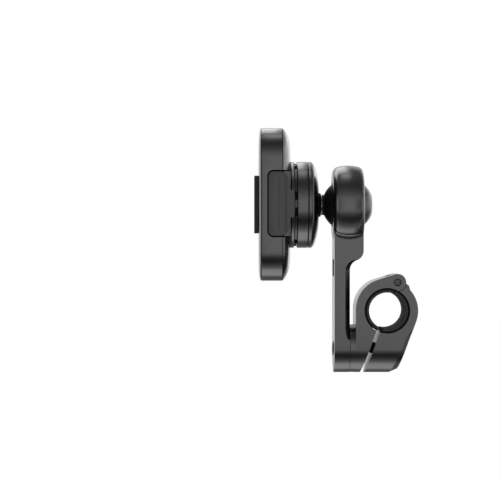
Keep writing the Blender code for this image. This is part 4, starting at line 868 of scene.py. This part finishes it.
def make_lever(name, side):
    near, far = sorted((side * LEVER_INNER, side * HEAD_HALF_WIDTH))
    lever = prism(f"side_lever_{name}_shape", lever_outline(), near, far, "Y", SOFT_EDGE)
    for end in (-1, 1):
        carve(lever, lever_skirt(side, end), "UNION")
    groove = circle((GROOVE_X, side * (HEAD_HALF_WIDTH + GROOVE_RADIUS - GROOVE_DEPTH)), GROOVE_RADIUS,
                    GROOVE_STEPS)
    carve(lever, prism("finger_groove", groove, BALL.z - 2 * TAB_HALF, BALL.z + 2 * TAB_HALF, "Z"))
    for end in (-1, 1):
        low, high = sorted((BALL.z + end * LEVER_KNUCKLE_NEAR, BALL.z + end * LEVER_KNUCKLE_FAR))
        carve(lever, prism("knuckle", round_lever_pin(side, LEVER_KNUCKLE), low, high, "Z"), "UNION")
    carve(lever, lever_pin_bore(side, 0))
    return lever


def make_spring(name, side):
    """The coil between the frame and the front of a lever, built at one fixed length."""
    foot = LEVER_INNER - GAP - SPRING_LENGTH
    wire = SPRING_WIRE / 2
    steps = 24 * SPRING_TURNS
    rings = []
    for step in range(steps + 1):
        turn = 2 * pi * SPRING_TURNS * step / steps
        height = foot + wire + (SPRING_LENGTH - 2 * wire) * step / steps
        rings.append([(SPRING_X + (SPRING_RADIUS + u) * cos(turn), side * (height + v),
                       BALL.z + (SPRING_RADIUS + u) * sin(turn)) for u, v in circle((0, 0), wire, 8)])
    spring = bridged(f"lever_spring_{name}_shape", rings)
    dress(spring, f"lever_spring_{name}")
    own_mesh(spring)


def socket_screw(name, radii, ends, **place):
    """A screw along +X with a tapered tip, a rounded head and a hexagonal socket."""
    shank, head, socket = radii
    tip, seat, top = ends
    corners = [(tip, shank * TIP_TAPER, 0), (tip + shank * TIP_LENGTH, shank, 0), (seat, shank, 0),
               (seat, head, 0), (top, head, head * HEAD_ROUND)]
    screw = rounded_bar(name, corners, **place)
    floor, above = top - (top - seat) * SOCKET_DEPTH, top + OVERCUT
    hollow = [(floor - socket * SOCKET_CONE, 0), (floor, socket), (above, socket), (above, 0)]
    carve(screw, turned("socket", hollow, 6, **place))
    return screw


def make_tension_ring():
    """The threaded ring behind the ball, with four spanner slots."""
    low, high, radius = RING_HALF - TENSION_WIDTH, RING_END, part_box("tension_ring")[1].y
    places = [low + (high - low) * step / 6 for step in range(7)]
    profile = softened([(low, radius, 0), (high, radius, TENSION_FILLET)]
                       + [(along, sqrt(SEAT_RADIUS ** 2 - along ** 2), 0) for along in places[::-1]])
    ring = turned("tension_ring_shape", profile, ROUND, centre=BALL)
    slot = [(-SPANNER_HALF, -RING_BORE), (SPANNER_HALF, -RING_BORE), (SPANNER_HALF, RING_BORE),
            (-SPANNER_HALF, RING_BORE)]
    for quarter in range(2):
        cutter = prism("slot", slot, high - SPANNER_DEPTH, high + OVERCUT, "X")
        cutter.data.transform(Matrix.Translation(BALL) @ Matrix.Rotation(quarter * pi / 2, 4, "X"))
        carve(ring, cutter)
    return ring


def make_hinge_pin():
    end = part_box("hinge_pin")[1].y
    corners = [(-end, PIN_RADIUS, PIN_FILLET), (end, PIN_RADIUS, PIN_FILLET)]
    return rounded_bar("hinge_pin_shape", corners, centre=HINGE, spin=pi / 2)


def make_sleeve():
    start = SLIT_LEFT + GAP
    corners = [(start, BOLT_HOLE, 0), (start, SLEEVE_RADIUS, SLEEVE_FILLET),
               (SLEEVE_END, SLEEVE_RADIUS, SLEEVE_FILLET), (SLEEVE_END, BOLT_HOLE, 0)]
    return turned("bolt_sleeve_shape", softened(corners), SMALL, centre=PINCH, lean=LEAN)


# Finishes
MOTTLE_SCALE = 45.0             # slow changes of tone over the surface, per metre
TONE_SPREAD = 0.05              # how much lighter and darker they make it
NOISE_LOW, NOISE_HIGH = 0.3, 0.7    # most of the noise lies between these
GRAIN_STRENGTH = 0.6


def new_look(name):
    """A new material, with its nodes and links."""
    look = bpy.data.materials.new(name)
    look.use_nodes = True
    return look, look.node_tree.nodes, look.node_tree.links


def set_inputs(node, values):
    """Sets inputs of a shader node by their names."""
    for name, value in values.items():
        node.inputs[name].default_value = value


def ranged(nodes, links, source, low, high):
    """A noise value spread over a range."""
    spread = nodes.new("ShaderNodeMapRange")
    set_inputs(spread, {"From Min": NOISE_LOW, "From Max": NOISE_HIGH, "To Min": low, "To Max": high})
    links.new(source, spread.inputs["Value"])
    return spread.outputs["Result"]


def finish(name, base, metallic, roughness, specular=0.5, grain=3500.0, grain_depth=0.000004, uneven=0.04):
    """A surface with slow changes of tone, uneven gloss and a fine grain."""
    look, nodes, links = new_look(name)
    shader = nodes["Principled BSDF"]
    set_inputs(shader, {"Metallic": metallic, "Specular IOR Level": specular})
    place = nodes.new("ShaderNodeTexCoord").outputs["Object"]
    clouds, speckle = nodes.new("ShaderNodeTexNoise"), nodes.new("ShaderNodeTexNoise")
    for texture, scale, detail in ((clouds, MOTTLE_SCALE, 3.0), (speckle, grain, 1.0)):
        set_inputs(texture, {"Scale": scale, "Detail": detail})
        links.new(place, texture.inputs["Vector"])
    tone = nodes.new("ShaderNodeMix")
    tone.data_type = "RGBA"
    for socket, share in (("A", 1 - TONE_SPREAD), ("B", 1 + TONE_SPREAD)):
        tone.inputs[socket].default_value = (*(channel * share for channel in base), 1)
    links.new(ranged(nodes, links, clouds.outputs["Fac"], 0, 1), tone.inputs["Factor"])
    links.new(tone.outputs["Result"], shader.inputs["Base Color"])
    gloss = ranged(nodes, links, clouds.outputs["Fac"], roughness - uneven, roughness + uneven)
    links.new(gloss, shader.inputs["Roughness"])
    bump = nodes.new("ShaderNodeBump")
    set_inputs(bump, {"Strength": GRAIN_STRENGTH, "Distance": grain_depth})
    links.new(speckle.outputs["Fac"], bump.inputs["Height"])
    links.new(bump.outputs["Normal"], shader.inputs["Normal"])
    return look


FINISHES = {
    "anodised_black": finish("anodised_black_finish", (0.106, 0.106, 0.107), 1.0, 0.24),
    "lever_black": finish("lever_black_finish", (0.068, 0.068, 0.069), 1.0, 0.30),
    "ball_black": finish("ball_black_finish", (0.006, 0.006, 0.006), 0.0, 0.55, specular=0.1),
    "dark_steel": finish("dark_steel_finish", (0.075, 0.075, 0.077), 1.0, 0.32),
    "plain_steel": finish("plain_steel_finish", (0.45, 0.45, 0.46), 1.0, 0.25),
    "nylon_black": finish("nylon_black_finish", (0.03, 0.03, 0.03), 0.0, 0.7, specular=0.02, grain=2500.0),
    "pad_rubber": finish("pad_rubber_finish", (0.03, 0.03, 0.031), 0.0, 0.17, specular=0.7, grain=1800.0),
}
SLOTS = {entry["node"]: entry["material_slot"] for entry in frame["record"]["subparts"]}

# Tolerances for the middle of a face, in the tests for painted shade: for lying in a recess, and for lying
# on a wall
MARGIN, TOUCH = 0.0002, 0.00002


# Painted shade: the faces down in the groove round each end face of a shim are painted matte black.
def painted_shade_in_shim_groove(spot):
    return hypot(spot.x, spot.z) > BAR_RADIUS - SHIM_GROOVE_WIDTH + MARGIN


# Painted shade: the faces of the hinge ears inside the bar's bore, next to the hinge, are painted matte
# black.
def painted_shade_in_bar_bore(spot):
    inside = hypot(spot.x, spot.z) < BAR_RADIUS - MARGIN
    return inside and hypot(spot.x - HINGE.x, spot.z - HINGE.z) < KNUCKLE_ROOM


# Painted shade: the floors of the lever pockets, and the faces in the thin gap past each end of a lever, are
# painted matte black.
def painted_shade_in_lever_pocket(spot):
    beside = abs(abs(spot.z - BALL.z) - LEVER_HALF - LEVER_GAP / 2) < LEVER_GAP / 2 + TOUCH
    return beside or min(abs(abs(spot.y) - LEVER_FLOOR), abs(abs(spot.y) - LEVER_HINGE_FLOOR)) < TOUCH


# Painted shade: the faces down in the detent ring's windows are painted matte black.
def painted_shade_in_window(spot):
    return hypot(spot.y, spot.z - BALL.z) < DISC_HIGH.y - WINDOW_SINK + MARGIN


# Painted shade: the dome's middle, shaded by the arm and the ball, is painted matte black.
def painted_shade_in_dome_middle(spot):
    return hypot(spot.y, spot.z - BALL.z) < DOME_SHADE_RADIUS


def dress(piece, node, slot=None, dark=None, sharp=32):
    """Gives a piece its finish, and puts it on its body in place of a node.

    Faces whose middle passes the dark test get the matte black finish as painted shade, as in the bottom of
    a recess. Faces that meet at more than the sharp angle show an edge.
    """
    slot = slot or SLOTS[node]
    piece.data.materials.clear()
    piece.data.materials.append(FINISHES[slot])
    # Painted shade: faces that pass the test get the matte black finish.
    if dark:
        piece.data.materials.append(FINISHES["ball_black"])
        for face in piece.data.polygons:
            face.material_index = int(dark(face.center))
    piece.data.shade_smooth()
    piece.data.set_sharp_from_angle(angle=radians(sharp))
    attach(piece, body_of(frame["nodes"][node])[0])
    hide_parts(node)


def paint_ball_lit_back(ball):
    """The ball's back, outside the ring, is painted bright with the steel finish as painted light where the
    light reaches it; the rest is matte.
    """
    ball.data.materials.append(FINISHES["dark_steel"])
    for face in ball.data.polygons:
        if face.center.x > BALL.x + BALL_REAR:
            face.material_index = 1


dress(make_clamp_body(), "clamp_body", dark=painted_shade_in_bar_bore)
dress(make_clamp_jaw(), "clamp_jaw", sharp=16)
dress(make_hinge_pin(), "hinge_pin")
dress(make_shim("shim_fixed_shape", SHIM_START, (SHIM_HINGE_PULL, SHIM_SLIT_PULL)), "shim_fixed",
      dark=painted_shade_in_shim_groove)
dress(make_shim("shim_jaw_shape", SHIM_START + pi, (SHIM_SLIT_PULL, SHIM_HINGE_PULL)), "shim_jaw",
      dark=painted_shade_in_shim_groove)
dress(socket_screw("pinch_bolt_shape", PINCH_BOLT, PINCH_BOLT_ENDS, centre=PINCH, lean=LEAN), "pinch_bolt")
dress(make_sleeve(), "bolt_sleeve")
PIVOT_BOLT_TOP = -ARM_LEFT + PIVOT_BOLT_PROUD
PIVOT_BOLT_ENDS = (-PIVOT.x - PIVOT_BOLT_GRIP, PIVOT_BOLT_TOP - PIVOT_BOLT_HEAD, PIVOT_BOLT_TOP)
dress(socket_screw("pivot_bolt_shape", PIVOT_BOLT, PIVOT_BOLT_ENDS, centre=PIVOT_AXIS, spin=pi),
      "pivot_bolt")
dress(make_arm(), "arm")
dress(make_tension_ring(), "tension_ring")
BALL_PIECE = make_ball()
dress(BALL_PIECE, "ball_stud")
paint_ball_lit_back(BALL_PIECE)
dress(hollow_ring("neck_ring", NECK_HOLE, NECK_FILLET), "neck_ring")
dress(hollow_ring("neck_collar", NECK_HOLE, NECK_FILLET), "neck_collar", slot="ball_black")
dress(make_dome(), "rear_dome", dark=painted_shade_in_dome_middle)
dress(make_disc(), "base_disc")
dress(make_detent_ring(), "detent_ring", dark=painted_shade_in_window)
dress(hollow_ring("lock_ring", LOCK_RING_BORE, LOCK_RING_FILLET), "lock_ring")
dress(make_back_cover(), "back_cover", dark=painted_shade_in_lever_pocket)
dress(make_head_frame(), "head_frame", dark=painted_shade_in_lever_pocket)
dress(make_front_pad(), "front_pad")
dress(make_lock_boss(), "lock_boss")
for lever_name, lever_side in (("right", -1), ("left", 1)):
    dress(make_lever(lever_name, lever_side), f"side_lever_{lever_name}")
    make_spring(lever_name, lever_side)
SCREW_TOP = COVER_HIGH.x - COVER_SCREW_SINK + GAP + COVER_SCREW_HEAD
COVER_SCREW_ENDS = (COVER_LOW.x - SCREW_GRIP, SCREW_TOP - COVER_SCREW_HEAD, SCREW_TOP)
for number, screw_place in enumerate(COVER_SCREWS, 1):
    dress(socket_screw(f"cover_screw_{number}_shape", COVER_SCREW, COVER_SCREW_ENDS, centre=screw_place),
          f"cover_screw_{number}")
for node_name, node in frame["nodes"].items():
    if not node.hide_render:
        node.data.materials.clear()
        node.data.materials.append(FINISHES[SLOTS[node_name]])

# Studio
FLOOR_Z = -0.40
FLOOR_LIFT = 0.09               # makes the pale floor read as white, and keeps its shadows
CAMERA_LENS, CAMERA_PLACE = 112, (-0.0958, -1.1016, 0.0424)
OUTER_CARD, INNER_CARD, SIDE_CARD = 0.6, 0.46, 0.44     # radii that the cards are bent to
UPPER_STOPS = ((8, 1.0), (16, 0.85), (26, 0.6), (36, 0.36), (44, 0.27), (52, 0.17), (66, 0.17))
OVER_STOPS = ((66, 0.17), (74, 0.5), (80, 1.0), (84, 1.3))
OVER_LEFT_STOPS = ((66, 0.17), (80, 0.3), (106, 0.3))
OVER_RIGHT_STOPS = ((66, 0.17), (84, 0.25), (128, 0.4))
LOWER_STOPS = ((-76, 1.2), (-70, 0.76), (-64, 0.46), (-58, 0.28), (-50, 0.11), (-42, 0.05), (-35, 0.12),
               (-27, 0.36), (-23, 0.55), (-20, 0.8), (-17, 1.0))
LOW_REAR_STOPS = ((-108, 1.0), (-114, 0.45), (-120, 0.28), (-150, 0.28), (-165, 1.0))
RIGHT_STOPS = ((11, 1.0), (15, 0.77), (21, 0.57), (29, 0.42), (38, 0.48), (51, 0.75), (62, 0.9), (72, 1.0),
               (82, 1.25), (92, 1.6), (104, 1.9))
LEFT_STOPS = ((15, 1.0), (20, 0.8), (25, 0.62), (31, 0.54), (40, 0.6), (48, 0.95), (54, 1.15), (72, 1.2))
LOW_RIGHT_GLOW, LOW_RIGHT_Z = 0.05, FLOOR_Z + 0.02


def card_cloth():
    """A surface that gives off as much light as the glow written at each point."""
    look, nodes, links = new_look("card_cloth")
    nodes.clear()
    level = nodes.new("ShaderNodeAttribute")
    level.attribute_name = "glow"
    glow = nodes.new("ShaderNodeEmission")
    links.new(level.outputs["Fac"], glow.inputs["Strength"])
    links.new(glow.outputs["Emission"], nodes.new("ShaderNodeOutputMaterial").inputs["Surface"])
    return look


CARD_CLOTH = card_cloth()


def card(name, rows):
    """A graded card that shows only in reflections. Each row is (glow, first end, second end)."""
    maker = bmesh.new()
    level = maker.verts.layers.float.new("glow")
    strips = []
    for glow, first, second in rows:
        strips.append([maker.verts.new(first), maker.verts.new(second)])
        for corner in strips[-1]:
            corner[level] = glow
    for near, far in zip(strips, strips[1:]):
        maker.faces.new((near[0], near[1], far[1], far[0]))
    piece = solid(name, maker)
    piece.data.materials.append(CARD_CLOTH)
    piece.visible_camera = False
    piece.visible_diffuse = False
    piece.visible_shadow = False
    piece.visible_transmission = False


def bent_card(name, radius, stops, span, turn=0):
    """A card bent round the ball, whose glow goes from stop to stop of (angle, glow).

    The angles run up from the camera's line, or towards another side when the card is turned about
    that line. Span is its reach along its own axis.
    """
    turned_to = Matrix.Translation(DISC_AXIS) @ Matrix.Rotation(radians(turn), 4, "Y")
    fine = [stops[0]]
    for (low, dim), (high, bright) in zip(stops, stops[1:]):
        steps = max(round(abs(high - low) / 3), 1)
        shares = [step / steps for step in range(1, steps + 1)]
        fine += [(low + (high - low) * share, dim + (bright - dim) * share) for share in shares]
    rows = []
    for angle, glow in fine:
        y, z = -radius * cos(radians(angle)), radius * sin(radians(angle))
        rows.append((glow, *(turned_to @ Vector((x, y, z)) for x in span)))
    card(name, rows)


def make_floor():
    maker = bmesh.new()
    bmesh.ops.create_grid(maker, x_segments=1, y_segments=1, size=30)
    floor = solid("floor", maker)
    floor.location.z = FLOOR_Z
    look, nodes, links = new_look("floor_paint")
    shader = nodes["Principled BSDF"]
    set_inputs(shader, {"Base Color": (0.92, 0.92, 0.92, 1), "Roughness": 0.9, "Specular IOR Level": 0.0,
                        "Emission Color": (1, 1, 1, 1)})
    rays = nodes.new("ShaderNodeLightPath")
    seen = rays.outputs["Is Camera Ray"]
    for kind in ("Is Glossy Ray", "Is Transmission Ray"):
        either = nodes.new("ShaderNodeMath")
        either.operation = "MAXIMUM"
        links.new(seen, either.inputs[0])
        links.new(rays.outputs[kind], either.inputs[1])
        seen = either.outputs["Value"]
    lift = nodes.new("ShaderNodeMath")
    lift.operation = "MULTIPLY"
    lift.inputs[1].default_value = FLOOR_LIFT
    links.new(seen, lift.inputs[0])
    links.new(lift.outputs["Value"], shader.inputs["Emission Strength"])
    floor.data.materials.append(look)


def soft_light(name, place, aim, size, radiance):
    """A soft box that points at a place on the object."""
    lamp = bpy.data.lights.new(name, "AREA")
    lamp.shape = "RECTANGLE"
    lamp.size, lamp.size_y = size
    lamp.energy = radiance * pi * size[0] * size[1]
    box = bpy.data.objects.new(name, lamp)
    bpy.context.scene.collection.objects.link(box)
    box.location = place
    box.rotation_euler = (Vector(aim) - Vector(place)).to_track_quat("-Z", "Y").to_euler()
    box.visible_camera = False
    box.visible_diffuse = False


def make_studio():
    scene = bpy.context.scene
    scene.view_settings.view_transform = "Standard"
    world = bpy.data.worlds.new("studio")
    scene.world = world
    world.use_nodes = True
    set_inputs(world.node_tree.nodes["Background"], {"Color": (1, 1, 1, 1), "Strength": 1.0})
    make_floor()
    bent_card("upper_card", OUTER_CARD, UPPER_STOPS, (-2, 2))
    bent_card("lower_card", INNER_CARD, LOWER_STOPS, (-2, 2))
    bent_card("low_rear_card", INNER_CARD, LOW_REAR_STOPS, (-2, 2))
    bent_card("over_card", OUTER_CARD, OVER_STOPS, (-0.15, 0.03))
    bent_card("over_left_card", OUTER_CARD, OVER_LEFT_STOPS, (-1.2, -0.15))
    bent_card("over_right_card", OUTER_CARD, OVER_RIGHT_STOPS, (0.03, 1.0))
    bent_card("right_card", SIDE_CARD, RIGHT_STOPS, (-0.12, 0.12), turn=90)
    bent_card("left_card", SIDE_CARD, LEFT_STOPS, (-0.12, 0.12), turn=-90)
    low_right = [(LOW_RIGHT_GLOW, (x, -0.7, LOW_RIGHT_Z), (x, 0.5, LOW_RIGHT_Z)) for x in (0.12, 1.0)]
    card("low_right_card", low_right)
    soft_light("over_box", (-0.09, 0, 1.25), (-0.09, 0, 0), (0.42, 0.4), 0.9)
    soft_light("back_box", (-0.75, 0.8, 1.1), (-0.75, 0, 0.07), (1.5, 0.9), 2.4)
    soft_light("left_box", (-1.1, 0.8, 0.1), (-0.05, 0, 0.05), (1.0, 1.0), 0.7)
    soft_light("right_box", (0.99, 0.99, 0.15), (-0.05, 0, 0.05), (1.45, 0.9), 1.3)
    soft_light("under_box", (-0.28, 0.01, -0.385), (-0.28, 0.01, 0), (0.72, 0.26), 0.85)
    camera = bpy.data.objects.new("camera", bpy.data.cameras.new("camera"))
    scene.collection.objects.link(camera)
    camera.data.lens = CAMERA_LENS
    camera.location = CAMERA_PLACE
    camera.rotation_euler = (pi / 2, 0, 0)
    scene.camera = camera


make_studio()
